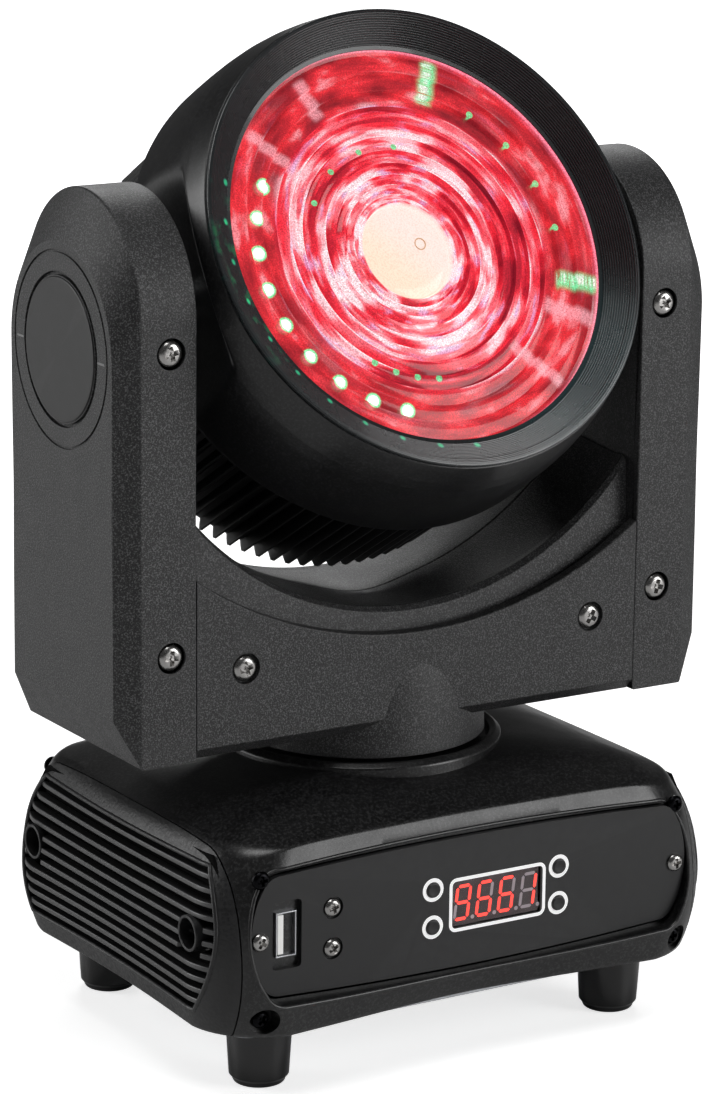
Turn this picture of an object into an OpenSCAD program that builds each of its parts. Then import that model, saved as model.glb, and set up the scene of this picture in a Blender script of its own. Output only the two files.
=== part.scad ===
// Moving head wash light: a base that stands on four feet, a yoke that pans on
// the base, and a round head that tilts between the yoke's two arms.
// +Z is up, the front looks along -Y, and +X is on the right as seen from the
// front. The origin is on the pan axis, at the level the feet stand on.

/* [Base] */
// Width over the two side covers at mid-height
base_w = 172; // [170:1:178]
// Depth over the front and rear frames at mid-height
base_d = 136; // [134:1:142]
// Height of the lower edge of the base's shell
base_low_z = 20; // [20:0.5:21]
// Height of the middle of the base's domed top
base_top_z = 84.5; // [83:0.5:84.5]
// Wall thickness of the plastic covers
wall = 2.4; // [2:0.1:2.6]
// Radius of a foot where it meets the floor
foot_r = 8.5; // [7:0.5:10]
// Number of ventilation slots in each side cover
vent_slots = 11; // [7:1:12]

/* [Yoke] */
// Distance between the inner faces of the two arms
arm_gap = 150; // [150:1:154]
// Thickness of one arm, with its bevel
arm_t = 24.5; // [24:0.5:27]
// Half depth of the arms and crossbar, and radius of the arms' round tops
arm_r = 34.1; // [33.6:0.1:36]
// Height of the top of the arms
arm_top_z = 253.6; // [252:0.2:256]
// Height of the tilt axis
tilt_z = 218.5; // [218:0.5:220]

/* [Head] */
// Angle of the lens axis above the horizontal at rest
rest_tilt = 30; // [0:1:60]
// Largest radius of the front barrel, at its rear rim
barrel_r = 74.5; // [73:0.5:74.5]
// Distance from the tilt axis to the front ring
front_l = 40; // [38:0.5:41]
// Distance from the tilt axis to the rear of the finned housing
rear_l = 53.5; // [52.5:0.5:54]
// Radius over the fins of the rear housing
fin_r = 70; // [69:0.5:70.5]
// Radius of the lens
lens_r = 60.5; // [58:0.5:60.5]
// Number of cooling fins around the rear housing
fin_count = 90; // [60:2:100]
// Number of small lamps in the ring behind the lens
ring_led_count = 28; // [12:1:32]

/* [Drive] */
// Teeth of the small pulley on each motor, 2 mm pitch
motor_teeth = 18; // [16:1:18]
// Teeth of the large pulley on the pan shaft, 2 mm pitch
pan_teeth = 108; // [90:1:108]
// Teeth of the large pulley on the tilt shaft, 2 mm pitch
tilt_teeth = 90; // [80:1:90]
// Radial running clearance of the pan and tilt shafts
run_gap = 0.05; // [0.03:0.01:0.08]

/* [Hidden] */
$fn = 96;
arc_fn = 720;
SIDES = [-1, 1];
CORNERS = [[-1, -1], [1, -1], [1, 1], [-1, 1]];
eps = 0.1;
fit = 0.2;

// Base outline
mid_z = 49;
corner_r = 12;
side_top_cut = 15;
face_top_cut = 13;
low_cut = 8;
side_bulge_r = 60;
face_bulge_r = 62;
dome_r_x = 368;
dome_r_y = 233;
seam_x = 77.7;
foot_x = 60.9;
foot_y = 45.4;
foot_h = 18.2;
foot_pocket_r = 4.2;
foot_pocket_h = 5;
foot_head_h = 7.2;
foot_bore_r = 2.1;
foot_screw_l = 12;
side_screw_y = 47.5;
vent_h = 38.5;
bracket_x = 40;
bracket_y = 50;
bracket_hole_r = 3.2;
trunnion_flange_r = 11.5;
neck_r = 39.6;
collar_r = 42.2;

// Control panel, on the front of the base
recess_half_w = 72.5;
recess_half_h = 21.5;
recess_end_r = 25;
panel_half_w = 65;
panel_half_h = 18.5;
floor_y = base_d / 2 - 6;
face_y = floor_y + 2;
key_x = 21.7;
key_z = 5.6;
key_r = 2.2;
group_x = 7.25;
display_w = 30.1;
display_h = 14;
usb_x = -63.1;
usb_z = 49.7;
board_y = floor_y - 5.4;

// Connectors, on the rear of the base
xlr_r = 11;
xlr_x = [-50, -22];
latch_z = 8.9;
mains_x = [7, 38];
mains_w = 26;
mains_h = 19;
fuse_x = 61;

// Boards and pan drive, inside the base
supply_x = -42;
post_x = 66;
post_y = 38;
chassis_z = 54;
pan_shaft_r = 12;
shaft_bore_r = 8;
pan_pulley_z = 58;
belt_w = 7;
tilt_belt_w = 5;
seat_gap = 0.01;
belt_t = 1.3;
belt_sag = 0.03;
pan_motor_x = 47;
motor_r = motor_teeth / PI;
pan_pulley_r = pan_teeth / PI;

// Yoke
arm_x = arm_gap / 2;
arm_side_x = arm_x + arm_t;
crease_x = arm_x + 17.5;
arm_low_z = 94;
arm_axis_z = arm_top_z - arm_r;
side_r = 29;
side_axis_z = 208.5;
lip_r = 129;
lip_z = 122.4;
saddle_r = 95.4;
saddle_z = 128.4;
saddle_half_d = 24;
cone_low_z = 86;
cone_low_r = 37.8;
cone_top_z = 113.3;
frame_z = 98;
frame_x = arm_x + 2.3;
bearing_r = 11;
trunnion_r = 8;
tilt_motor_z = 119.5;
tilt_pulley_x = arm_x + 8.6;
tilt_pulley_r = tilt_teeth / PI;

// Head, in its own frame: Z along the lens axis, Y up, origin on the tilt axis
flat_x = 66;
flat_front_l = 28;
barrel_rear_l = -2;
bezel_l = front_l - 3.6;
ring_r = 69.3;
fin_root_r = 66.5;
ridge_count = 14;
lens_back_l = 29.5;
facet_count = 10;
led_ring_r = 51;
led_board_l = 22;
lamp_l = -12;
fan_l = 2.5 - rear_l;
fan_r = 38;

// A rectangle with round corners, centred on the origin
module rounded_rect(w, h, r) {
    square([w - 2 * r, h], center = true);
    square([w, h - 2 * r], center = true);
    for (c = CORNERS)
        translate([c[0] * (w / 2 - r), c[1] * (h / 2 - r)])
            circle(r);
}

// A 2D shape in X and Z, extruded along Y
module along_y(depth) {
    rotate([90, 0, 0])
        linear_extrude(height = depth, center = true)
            children();
}

// A 2D shape in Y and Z, extruded along X
module along_x(depth) {
    rotate([90, 0, 90])
        linear_extrude(height = depth, center = true)
            children();
}

// Cylinders lying along X and along Y, centred on where they are drawn
module rod_x(r, l) {
    rotate([0, 90, 0])
        cylinder(r = r, h = l, center = true);
}

module rod_y(r, l) {
    rotate([90, 0, 0])
        cylinder(r = r, h = l, center = true);
}

module tube(r_out, r_in, h) {
    difference() {
        cylinder(r = r_out, h = h);
        translate([0, 0, -eps])
            cylinder(r = r_in, h = h + 2 * eps);
    }
}

// A pan-head screw whose head's top is at the origin, driven along -Z
module screw(head_r = 3.8, shank_r = 1.9, l = 6) {
    difference() {
        union() {
            translate([0, 0, -1.8])
                cylinder(r1 = head_r, r2 = head_r * 0.7, h = 1.8);
            translate([0, 0, -1.8 - l])
                cylinder(r = shank_r, h = l);
        }
        for (a = [0, 90])
            rotate([0, 0, a])
                cube([head_r * 1.05, 0.8, 2], center = true);
    }
}

// A closed belt round two pulleys, in the XY plane
module belt_loop(r1, r2, span) {
    difference() {
        belt_area(r1 + belt_t, r2 + belt_t, span);
        belt_area(r1 + 0.05, r2 + 0.05, span);
    }
}

module belt_area(r1, r2, span) {
    a = acos((r1 - r2) / span);
    b1 = r1 - belt_sag;
    b2 = r2 - belt_sag;
    circle(r1);
    translate([span, 0])
        circle(r2);
    polygon([
        [b1 * cos(a), b1 * sin(a)],
        [b1 * cos(a), -b1 * sin(a)],
        [span + b2 * cos(a), -b2 * sin(a)],
        [span + b2 * cos(a), b2 * sin(a)]
    ]);
}

// A belt pulley of radius r, bored and w wide, between two rims; its lower rim
// is at z = -1
module pulley(r, bore, w) {
    difference() {
        union() {
            cylinder(r = r, h = w + 1);
            for (z = [-1, w + 1])
                translate([0, 0, z])
                    cylinder(r = r + 1, h = 1);
        }
        if (bore > 0)
            translate([0, 0, -2])
                cylinder(r = bore, h = w + 6);
    }
}

// ---------------------------------------------------------------- base

// The area inside a half outline's cut corners: top_cut above, low_cut below
module cut_corners(half_w, top_cut, low_cut, t) {
    x = half_w + 1 - t;
    z_top = base_top_z + 1 - t;
    z_low = base_low_z - 4;
    polygon([
        [0, z_low], [x - low_cut, z_low], [x, z_low + low_cut],
        [x, z_top - top_cut], [x - top_cut, z_top], [0, z_top]
    ]);
}

// Half the front outline: a bulging side under a domed top
module base_half_front(t) {
    intersection() {
        translate([0, base_low_z - 4])
            square([base_w / 2, base_top_z]);
        translate([base_w / 2 - side_bulge_r, mid_z])
            union() {
                circle(side_bulge_r - t, $fn = arc_fn);
                translate([-side_bulge_r, 0])
                    square([2 * side_bulge_r, 2 * side_bulge_r], center = true);
            }
        translate([0, base_top_z - dome_r_x])
            circle(dome_r_x - t, $fn = arc_fn * 2);
        cut_corners(base_w / 2, side_top_cut, low_cut, t);
    }
}

module base_half_side(t) {
    intersection() {
        translate([0, base_low_z - 4])
            square([base_d / 2, base_top_z]);
        translate([base_d / 2 - face_bulge_r, mid_z])
            union() {
                circle(face_bulge_r - t, $fn = arc_fn);
                translate([-face_bulge_r, 0])
                    square([2 * face_bulge_r, 2 * face_bulge_r], center = true);
            }
        translate([0, base_top_z - dome_r_y])
            circle(dome_r_y - t, $fn = arc_fn * 2);
        cut_corners(base_d / 2, face_top_cut, low_cut, t);
    }
}

// The base's outside, moved inwards by t, with its lower edge trimmed at low_z
module base_solid(t, low_z) {
    intersection() {
        along_y(base_d + 20)
            for (s = [0, 1])
                mirror([s, 0])
                    base_half_front(t);
        along_x(base_w + 20)
            for (s = [0, 1])
                mirror([s, 0])
                    base_half_side(t);
        translate([0, 0, low_z])
            linear_extrude(height = 100)
                rounded_rect(base_w - 2 * t, base_d - 2 * t, corner_r - t);
    }
}

module base_cover() {
    difference() {
        base_solid(0, base_low_z);
        base_solid(wall, base_low_z - 1);
    }
}

// The panel recess in X and Z: straight above and below, with arcs at its ends
module recess_outline(half_w, half_h) {
    intersection() {
        square([3 * half_w, 2 * half_h], center = true);
        union() {
            square([2 * (half_w - recess_end_r), 4 * half_h], center = true);
            for (s = SIDES)
                translate([s * (half_w - recess_end_r), 0])
                    circle(recess_end_r);
        }
    }
}

module recess_block(half_w, half_h, y_out, y_in) {
    translate([0, -(y_out + y_in) / 2, mid_z])
        along_y(y_out - y_in)
            recess_outline(half_w, half_h);
}

// The block that the wall and floor of a recess are cut from
module recess_pocket() {
    recess_block(recess_half_w + 2, recess_half_h + 2, base_d / 2 - 2, floor_y - 2);
}

module base_shell() {
    color("#1c1c1d")
    difference() {
        union() {
            intersection() {
                base_cover();
                cube([2 * seam_x - fit, 300, 300], center = true);
            }
            // Collar that the neck ring sits on
            translate([0, 0, base_top_z - 6])
                cylinder(r = collar_r, h = 3.9);
            intersection() {
                base_solid(wall / 2, base_low_z);
                union() {
                    for (a = [0, 180])
                        rotate([0, 0, a])
                            recess_pocket();
                    frame_screw_places()
                        translate([0, 0, -7])
                            cylinder(r = 5.5, h = 8);
                    // Lugs that the side covers are screwed to
                    for (x = SIDES, y = SIDES)
                        translate([x * (seam_x - 3.2), y * 52, mid_z])
                            cube([6, 18, 9], center = true);
                }
            }
        }
        for (a = [0, 180])
            rotate([0, 0, a])
                recess_block(recess_half_w, recess_half_h, base_d / 2 + 4, floor_y);
        translate([0, 0, base_top_z - 12])
            cylinder(r = neck_r + 1.3, h = 22);
        // Seat for the neck ring
        translate([0, 0, base_top_z - 2.1])
            cylinder(r = collar_r + 0.1, h = 8);
        // Openings in the front floor for the board, the data socket and the screws
        translate([group_x, -floor_y, mid_z])
            cube([56, 8, 26], center = true);
        translate([usb_x, -floor_y, usb_z])
            cube([9, 8, 18], center = true);
        panel_screw_places()
            rod_y(1.6, 10);
        end_screw_places()
            rod_y(1.6, 10);
        // Opening in the rear floor for the connectors
        translate([0, floor_y, mid_z])
            cube([136, 8, 27], center = true);
        for (x = SIDES, y = SIDES)
            translate([x * seam_x, y * side_screw_y, mid_z])
                rod_x(1.6, 30);
        frame_screw_places()
            translate([0, 0, -8])
                cylinder(r = 1.6, h = 10);
        frame_screw_places()
            translate([0, 0, -1.8])
                cylinder(r = 4, h = 10);
    }
}

module side_cover() {
    difference() {
        union() {
            intersection() {
                base_cover();
                translate([seam_x + 50, 0, 0])
                    cube([100, 300, 300], center = true);
            }
            // Bosses that take the cover's screws
            for (y = SIDES)
                translate([base_w / 2 - 5, y * side_screw_y, mid_z])
                    rod_x(5.4, 7);
        }
        for (i = [0 : vent_slots - 1]) {
            z = mid_z - 1.4 + vent_h * (i / (vent_slots - 1) - 0.5);
            half = 57 - 7 * pow(2 * (z - mid_z) / vent_h, 2);
            translate([base_w / 2 - 4, 0, z])
                difference() {
                    cube([14, 2 * half, 0.58 * vent_h / (vent_slots - 1)], center = true);
                    for (y = SIDES)
                        translate([0, y * side_screw_y, mid_z - z])
                            rod_x(5.4, 20);
                }
        }
        side_screw_places()
            translate([0, 0, -12])
                cylinder(r = 1.6, h = 12);
        side_screw_places()
            translate([0, 0, -1.8])
                cylinder(r = 4.3, h = 12);
    }
}

// The places of one side's two screws, +Z pointing out of the cover
module side_screw_places() {
    for (y = SIDES)
        translate([base_w / 2 - 4.5, y * side_screw_y, mid_z])
            rotate([0, 90, 0])
                children();
}

// The places of the eight frame screws, +Z pointing out of the frame
module frame_screw_places() {
    for (a = [0, 180], x = SIDES, z = SIDES)
        rotate([0, 0, a])
            translate([x * 70.4, -(base_d / 2 - 4.6), mid_z - 1.9 + z * 20.5])
                rotate([90, 0, 0])
                    children();
}

module left_side_cover() {
    color("#1a1a1b")
        mirror([1, 0, 0])
            side_cover();
}

module right_side_cover() {
    color("#1a1a1b")
        side_cover();
}

module base_plate() {
    color("#3a3b3d")
    difference() {
        translate([0, 0, foot_h])
            linear_extrude(height = base_low_z - foot_h)
                rounded_rect(150, 116, 8);
        // Holes for the clamp bracket
        for (c = CORNERS)
            translate([c[0] * bracket_x, c[1] * bracket_y, 0])
                cylinder(r = bracket_hole_r, h = 40);
        // Holes for the screws of the feet
        foot_places()
            cylinder(r = foot_bore_r, h = 40);
        // Intake slots
        for (x = [-9 : 3 : 9])
            translate([x * 1.6, 0, base_low_z])
                cube([2, 34, 8], center = true);
    }
}

module foot_places() {
    for (c = CORNERS)
        translate([c[0] * foot_x, c[1] * foot_y, 0])
            children();
}

// A foot, with a pocket under it for the head of its screw
module rubber_feet() {
    color("#0c0c0d")
    foot_places()
        difference() {
            union() {
                cylinder(r1 = foot_r - 1.2, r2 = foot_r, h = 1.4);
                translate([0, 0, 1.4])
                    cylinder(r1 = foot_r, r2 = foot_r + 1.2, h = foot_h - 1.4);
            }
            translate([0, 0, -1])
                cylinder(r = foot_pocket_r, h = foot_pocket_h + 1);
            translate([0, 0, foot_pocket_h - 1])
                cylinder(r = foot_pocket_r - 0.3, h = foot_head_h - foot_pocket_h + 1);
            cylinder(r = foot_bore_r, h = foot_h + 1);
        }
}

module neck_ring() {
    color("#161617")
    difference() {
        union() {
            translate([0, 0, base_top_z - 2])
                cylinder(r1 = collar_r, r2 = collar_r - 1, h = 3.3);
            translate([0, 0, base_top_z - 6])
                cylinder(r = neck_r + 1.2, h = 5);
        }
        cylinder(r = neck_r, h = 200);
    }
}

// ------------------------------------------------------- control panel

module key_places() {
    for (x = SIDES, z = SIDES)
        translate([group_x + x * key_x, -face_y, mid_z + z * key_z])
            rotate([90, 0, 0])
                children();
}

// The two screws beside the data socket, at the panel's face
module panel_screw_places() {
    for (z = SIDES)
        translate([-47.8, -face_y, mid_z + z * 6])
            children();
}

// The screws at the two ends of the panel, at the recess floor
module end_screw_places() {
    for (x = SIDES)
        translate([x * 69.3, -floor_y, mid_z - 0.5])
            children();
}

module control_panel() {
    color("#2a2b2d")
    difference() {
        recess_block(panel_half_w, panel_half_h, face_y, floor_y + 0.05);
        key_places()
            cylinder(r = key_r + 0.15, h = 10, center = true);
        translate([group_x, -face_y, mid_z])
            cube([display_w + 0.3, 10, display_h + 0.3], center = true);
        translate([usb_x, -face_y, usb_z])
            cube([9.4, 10, 18.4], center = true);
        panel_screw_places()
            rod_y(1.6, 10);
    }
}

module display_module() {
    color("#d8d4d2")
    translate([group_x, -(face_y - 0.6) + 3.4, mid_z])
        cube([display_w, 6.8, display_h], center = true);
}

module display_window() {
    color([0.55, 0.05, 0.05, 0.5])
    translate([group_x, -(face_y - 0.3), mid_z])
        cube([display_w, 0.55, display_h], center = true);
}

module key(x, z) {
    translate([group_x + x * key_x, -face_y - 0.8, mid_z + z * key_z])
        rotate([-90, 0, 0]) {
            cylinder(r = key_r, h = 4.2);
            // Collar that keeps the button behind the panel
            translate([0, 0, 2.95])
                cylinder(r = key_r + 0.8, h = 1.2);
        }
}

module menu_button() {
    color("#101011")
        key(-1, 1);
}

module enter_button() {
    color("#101011")
        key(-1, -1);
}

module up_button() {
    color("#101011")
        key(1, 1);
}

module down_button() {
    color("#101011")
        key(1, -1);
}

module control_board() {
    color("#1f5a35")
    translate([group_x, -board_y + 0.8, mid_z])
        cube([62, 1.6, 30], center = true);
    color("#b9bcc0")
    for (x = SIDES, z = SIDES)
        translate([group_x + x * key_x, -board_y - 1.65, mid_z + z * key_z])
            cube([6, 3.3, 6], center = true);
}

module usb_socket() {
    color("#c9ccd0")
    translate([usb_x, -(face_y - 6.5), usb_z])
        difference() {
            union() {
                cube([6.6, 13, 13.2], center = true);
                translate([0, -6.6, 0])
                    cube([7.6, 0.6, 14.5], center = true);
            }
            translate([0, -3, 0])
                cube([5.4, 12, 12], center = true);
        }
    color("#e9e9e6")
    translate([usb_x - 1.2, -(face_y - 7.5), usb_z])
        cube([1.9, 11, 11], center = true);
    color("#1f5a35")
    translate([usb_x, -face_y + 13.8, usb_z])
        cube([14, 1.6, 20], center = true);
}

module panel_screws() {
    color("#b9bbbd") {
        panel_screw_places()
            panel_screw();
        end_screw_places()
            panel_screw();
    }
}

module panel_screw() {
    translate([0, -1.8, 0])
        rotate([90, 0, 0])
            screw(head_r = 2.7, shank_r = 1.5, l = 3.6);
}

// Screws of the frames round the panels, and the four that hold the feet
module frame_screws() {
    color("#0f0f10") {
        frame_screw_places()
            screw(head_r = 3, shank_r = 1.5, l = 4);
        foot_places()
            translate([0, 0, foot_head_h - 1.8])
                rotate([180, 0, 0])
                    screw(head_r = 3.6, shank_r = 1.9, l = foot_screw_l);
    }
}

module side_cover_screws() {
    color("#0f0f10")
    for (s = [0, 1])
        mirror([s, 0, 0])
            side_screw_places()
                screw(head_r = 3.4, shank_r = 1.5, l = 6);
}

// ----------------------------------------------------------- connectors

module rear_panel() {
    color("#2c2d2f")
    difference() {
        rotate([0, 0, 180])
            recess_block(panel_half_w + 5, panel_half_h + 1, face_y, floor_y + 0.05);
        for (x = xlr_x)
            translate([x, face_y, mid_z])
                rod_y(xlr_r + 0.1, 10);
        for (x = mains_x)
            translate([x, face_y, mid_z])
                cube([mains_w + 0.2, 10, mains_h + 0.2], center = true);
        translate([fuse_x, face_y, mid_z])
            rod_y(5.6, 10);
    }
}

module round_socket(x) {
    translate([x, face_y - 9, mid_z])
        difference() {
            union() {
                rod_y(xlr_r, 24);
                translate([0, 10, 0])
                    cube([26, 2, 26], center = true);
            }
            children();
        }
}

module signal_in_socket() {
    color("#1b1b1c")
    round_socket(xlr_x[0])
        difference() {
            translate([0, 6, 0])
                rod_y(9.6, 20);
            // Three contact pins stand in the recess
            for (a = [60, 180, 300])
                translate([5 * sin(a), 4, 5 * cos(a)])
                    rod_y(1.2, 24);
        }
}

module signal_out_socket() {
    color("#1b1b1c")
    round_socket(xlr_x[1]) {
        difference() {
            translate([0, 8, 0])
                rod_y(9.6, 12);
            translate([0, 4, 0])
                rod_y(7.6, 24);
        }
        for (a = [60, 180, 300])
            translate([5 * sin(a), 8, 5 * cos(a)])
                rod_y(1.4, 16);
        translate([0, 9, latch_z])
            cube([5.2, 10, 2.9], center = true);
    }
}

module socket_latch() {
    color("#77797c")
    translate([xlr_x[1], face_y + 1, mid_z + latch_z])
        cube([4.8, 5, 2.4], center = true);
}

module power_in_socket() {
    color("#151516")
    translate([mains_x[0], face_y - 8, mid_z])
        difference() {
            union() {
                cube([mains_w, 22, mains_h], center = true);
                translate([0, 9.4, 0])
                    cube([mains_w + 4, 2.6, mains_h + 6], center = true);
            }
            difference() {
                translate([0, 6, 0])
                    cube([mains_w - 3, 20, mains_h - 3], center = true);
                for (p = [[-7, 0], [0, 4], [7, 0]])
                    translate([p[0], 0, p[1]])
                        cube([2, 20, 4.4], center = true);
            }
        }
}

module power_out_socket() {
    color("#151516")
    translate([mains_x[1], face_y - 8, mid_z])
        difference() {
            union() {
                cube([mains_w, 22, mains_h], center = true);
                translate([0, 9.4, 0])
                    cube([mains_w + 4, 2.6, mains_h + 6], center = true);
            }
            for (p = [[-7, 0], [0, 4], [7, 0]])
                translate([p[0], 8, p[1]])
                    cube([2.4, 12, 4.8], center = true);
        }
}

module fuse_holder() {
    color("#19191a")
    translate([fuse_x, face_y - 9, mid_z]) {
        rod_y(5.5, 22);
        translate([0, 11, 0])
            difference() {
                rod_y(7, 3.2);
                translate([0, 1.4, 0])
                    cube([9, 1.4, 1.6], center = true);
            }
    }
}

module power_supply() {
    color("#9da0a3")
    difference() {
        union() {
            translate([supply_x, -2, 38.6])
                cube([36, 70, 25], center = true);
            for (x = SIDES, y = SIDES)
                translate([supply_x + x * 15, -2 + y * 31, base_low_z])
                    cylinder(r = 2, h = 7);
        }
        for (y = [-30 : 6 : 24])
            translate([supply_x, y, 51])
                cube([26, 2, 3], center = true);
    }
}

module main_board() {
    color("#1f5a35")
    translate([0, -6, 25])
        cube([40, 70, 1.6], center = true);
    color("#26272a")
    for (p = [[-8, -20, 10], [8, -8, 12], [-6, 14, 9]])
        translate([p[0], p[1], 25.8 + p[2] / 4])
            cube([10, 10, p[2] / 2], center = true);
    color("#b9bcc0")
    for (x = SIDES, y = SIDES)
        translate([x * 17, -6 + y * 31, base_low_z])
            cylinder(r = 2, h = 4.2);
}

// ----------------------------------------------------------- pan drive

module chassis_plate() {
    color("#54565a")
    difference() {
        union() {
            translate([0, 0, chassis_z])
                linear_extrude(height = 2)
                    rounded_rect(142, 84, 6);
            for (c = CORNERS)
                translate([c[0] * post_x, c[1] * post_y, base_low_z])
                    cylinder(r = 3.4, h = chassis_z - base_low_z + 1);
        }
        translate([0, 0, chassis_z - 1])
            cylinder(r = 17.02, h = 4);
        translate([pan_motor_x, 0, chassis_z - 1])
            cylinder(r = 11.1, h = 4);
    }
}

module pan_bearing() {
    color("#a9acb0")
    difference() {
        union() {
            translate([0, 0, 44])
                cylinder(r = 17, h = 12.6);
            translate([0, 0, chassis_z - 3])
                cylinder(r = 22, h = 3);
        }
        translate([0, 0, 40])
            cylinder(r = pan_shaft_r + run_gap, h = 20);
    }
}

module motor_can(size, h) {
    difference() {
        linear_extrude(height = h)
            rounded_rect(size, size, 4);
        for (c = CORNERS)
            translate([c[0] * size / 2, c[1] * size / 2, h * 0.25])
                rotate([0, 0, 45])
                    translate([0, 0, h * 0.25])
                        cube([5, 5, h / 2], center = true);
    }
}

module pan_motor() {
    color("#2a2b2d")
    translate([pan_motor_x, 0, 0])
        difference() {
            union() {
                translate([0, 0, chassis_z - 30])
                    motor_can(42, 30);
                translate([0, 0, chassis_z])
                    cylinder(r = 11, h = 2);
            }
            translate([0, 0, chassis_z - 10])
                cylinder(r = 2.5 + run_gap, h = 20);
        }
}

module pan_belt() {
    color("#0e0e0f")
    translate([0, 0, pan_pulley_z + 0.5])
        linear_extrude(height = belt_w)
            belt_loop(pan_pulley_r, motor_r, pan_motor_x);
}

module pan_motor_pulley() {
    color("#c2c5c8")
    translate([pan_motor_x, 0, 0]) {
        translate([0, 0, pan_pulley_z])
            pulley(motor_r, 0, belt_w);
        translate([0, 0, chassis_z - 8])
            cylinder(r = 2.5, h = pan_pulley_z - chassis_z + 10);
    }
}

module pan_shaft() {
    color("#a9acb0")
    difference() {
        union() {
            translate([0, 0, 42])
                cylinder(r = pan_shaft_r, h = frame_z - 42);
            translate([0, 0, frame_z - 3])
                cylinder(r = 28, h = 3);
            // Collar under the bearing that carries an upward pull
            translate([0, 0, 41])
                cylinder(r = 15, h = 2.6);
        }
        translate([0, 0, 30])
            cylinder(r = shaft_bore_r, h = 90);
    }
}

module pan_pulley() {
    color("#c2c5c8")
    difference() {
        union() {
            translate([0, 0, pan_pulley_z])
                pulley(pan_pulley_r, 0, belt_w);
            translate([0, 0, pan_pulley_z + 8])
                cylinder(r = 18, h = 5);
        }
        translate([0, 0, pan_pulley_z - 3])
            cylinder(r = pan_shaft_r + seat_gap, h = 20);
        for (a = [0 : 60 : 300])
            rotate([0, 0, a])
                translate([25.5, 0, pan_pulley_z - 3])
                    cylinder(r = 5, h = 20);
    }
}

// ----------------------------------------------------------------- yoke

module arm_outline(r, axis_z, low_z) {
    translate([0, axis_z])
        circle(r, $fn = 64);
    translate([-r, low_z])
        square([2 * r, axis_z - low_z]);
}

// The outside of the +X arm, moved inwards by t
module arm_solid(t) {
    intersection() {
        hull() {
            translate([(arm_x + crease_x - t) / 2, 0, 0])
                along_x(crease_x - arm_x - t / 2)
                    arm_outline(arm_r - t, arm_axis_z, arm_low_z);
            translate([arm_side_x - t - 0.5, 0, 0])
                along_x(1)
                    arm_outline(side_r + 1.4 - t, side_axis_z, arm_low_z);
        }
        along_y(100)
            polygon([
                [arm_x - 5, arm_low_z + t],
                [arm_x + 5, arm_low_z + t],
                [arm_side_x - t, arm_low_z + 14 + t * 0.5],
                [arm_side_x - t, 300],
                [arm_x - 5, 300]
            ]);
    }
}

module arm_cover() {
    difference() {
        union() {
            difference() {
                arm_solid(0);
                translate([-1, 0, 0])
                    arm_solid(wall);
            }
            arm_screw_places()
                translate([0, 0, -3.6])
                    cylinder(r = 5.6, h = 2.5);
        }
        // Seat for the round disc
        translate([arm_side_x, 0, side_axis_z])
            rod_x(22, 1.6);
        arm_screw_places()
            screw_seat();
    }
}

module screw_seat() {
    translate([0, 0, -12])
        cylinder(r = 2.1, h = 12);
    translate([0, 0, -1.8])
        cylinder(r = 4.5, h = 10);
}

// The four screws of the +X arm, +Z pointing out of the cover
module arm_screw_places() {
    for (a = [0, 180], z = [125.2, 211.4])
        translate([arm_x + 8, 0, z])
            rotate([0, 0, a])
                translate([0, -arm_r + 0.2, 0])
                    rotate([90, 0, 0])
                        children();
}

module crossbar_screw_places() {
    for (a = [0, 180], x = SIDES)
        rotate([0, 0, a])
            translate([x * 59, -arm_r + 0.2, 119])
                rotate([90, 0, 0])
                    children();
}

module left_arm_cover() {
    color("#242425")
        mirror([1, 0, 0])
            arm_cover();
}

module right_arm_cover() {
    color("#242425")
        arm_cover();
}

module arm_inner_covers() {
    color("#1d1d1e")
    for (s = [0, 1])
        mirror([s, 0, 0])
            difference() {
                translate([arm_x + 1.1, 0, 0])
                    along_x(1.8)
                        intersection() {
                            arm_outline(arm_r - wall - fit, arm_axis_z, arm_low_z + wall + fit);
                            translate([-50, arm_low_z + wall + fit])
                                square([100, 200]);
                        }
                translate([arm_x, 0, 118])
                    cube([8, 60, 44], center = true);
                translate([arm_x, 0, tilt_z])
                    rod_x(9.5, 10);
            }
}

module arm_discs() {
    color("#1b1b1c")
    for (s = [0, 1])
        mirror([s, 0, 0])
            translate([arm_side_x - 0.8, 0, side_axis_z])
                rotate([0, 90, 0]) {
                    cylinder(r = 21.9, h = 0.5);
                    cylinder(r = 20.5, h = 1.2);
                }
}

module crossbar_profile(arc_r, arc_z, t) {
    difference() {
        translate([-arm_x, arm_low_z + t])
            square([2 * arm_x, 80]);
        translate([0, arc_z + arc_r])
            circle(arc_r + t, $fn = arc_fn);
    }
}

// The crossbar's outside, moved inwards by t: a low lip front and rear, a higher
// saddle between, and the cone of the neck below
module crossbar_solid(t) {
    intersection() {
        union() {
            along_y(2 * (arm_r - t))
                crossbar_profile(lip_r, lip_z, t);
            along_y(2 * (saddle_half_d - t))
                crossbar_profile(saddle_r, saddle_z, t);
        }
        along_x(300)
            polygon([
                [-arm_r - 1, arm_low_z + 3],
                [-arm_r + 3, arm_low_z - 1],
                [arm_r - 3, arm_low_z - 1],
                [arm_r + 1, arm_low_z + 3],
                [arm_r + 1, 260],
                [-arm_r - 1, 260]
            ]);
    }
    translate([0, 0, cone_low_z - t])
        cylinder(r1 = cone_low_r - t, r2 = arm_r - t, h = cone_top_z - cone_low_z);
}

module crossbar_cover() {
    difference() {
        crossbar_solid(0);
        difference() {
            crossbar_solid(wall);
            crossbar_screw_places()
                translate([0, 0, -7])
                    cylinder(r = 5.6, h = 10);
        }
        translate([0, 200 - fit / 4, 150])
            cube([400, 400, 400], center = true);
        crossbar_screw_places()
            screw_seat();
    }
}

module crossbar_front_cover() {
    color("#242425")
        crossbar_cover();
}

module crossbar_rear_cover() {
    color("#242425")
        rotate([0, 0, 180])
            crossbar_cover();
}

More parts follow.
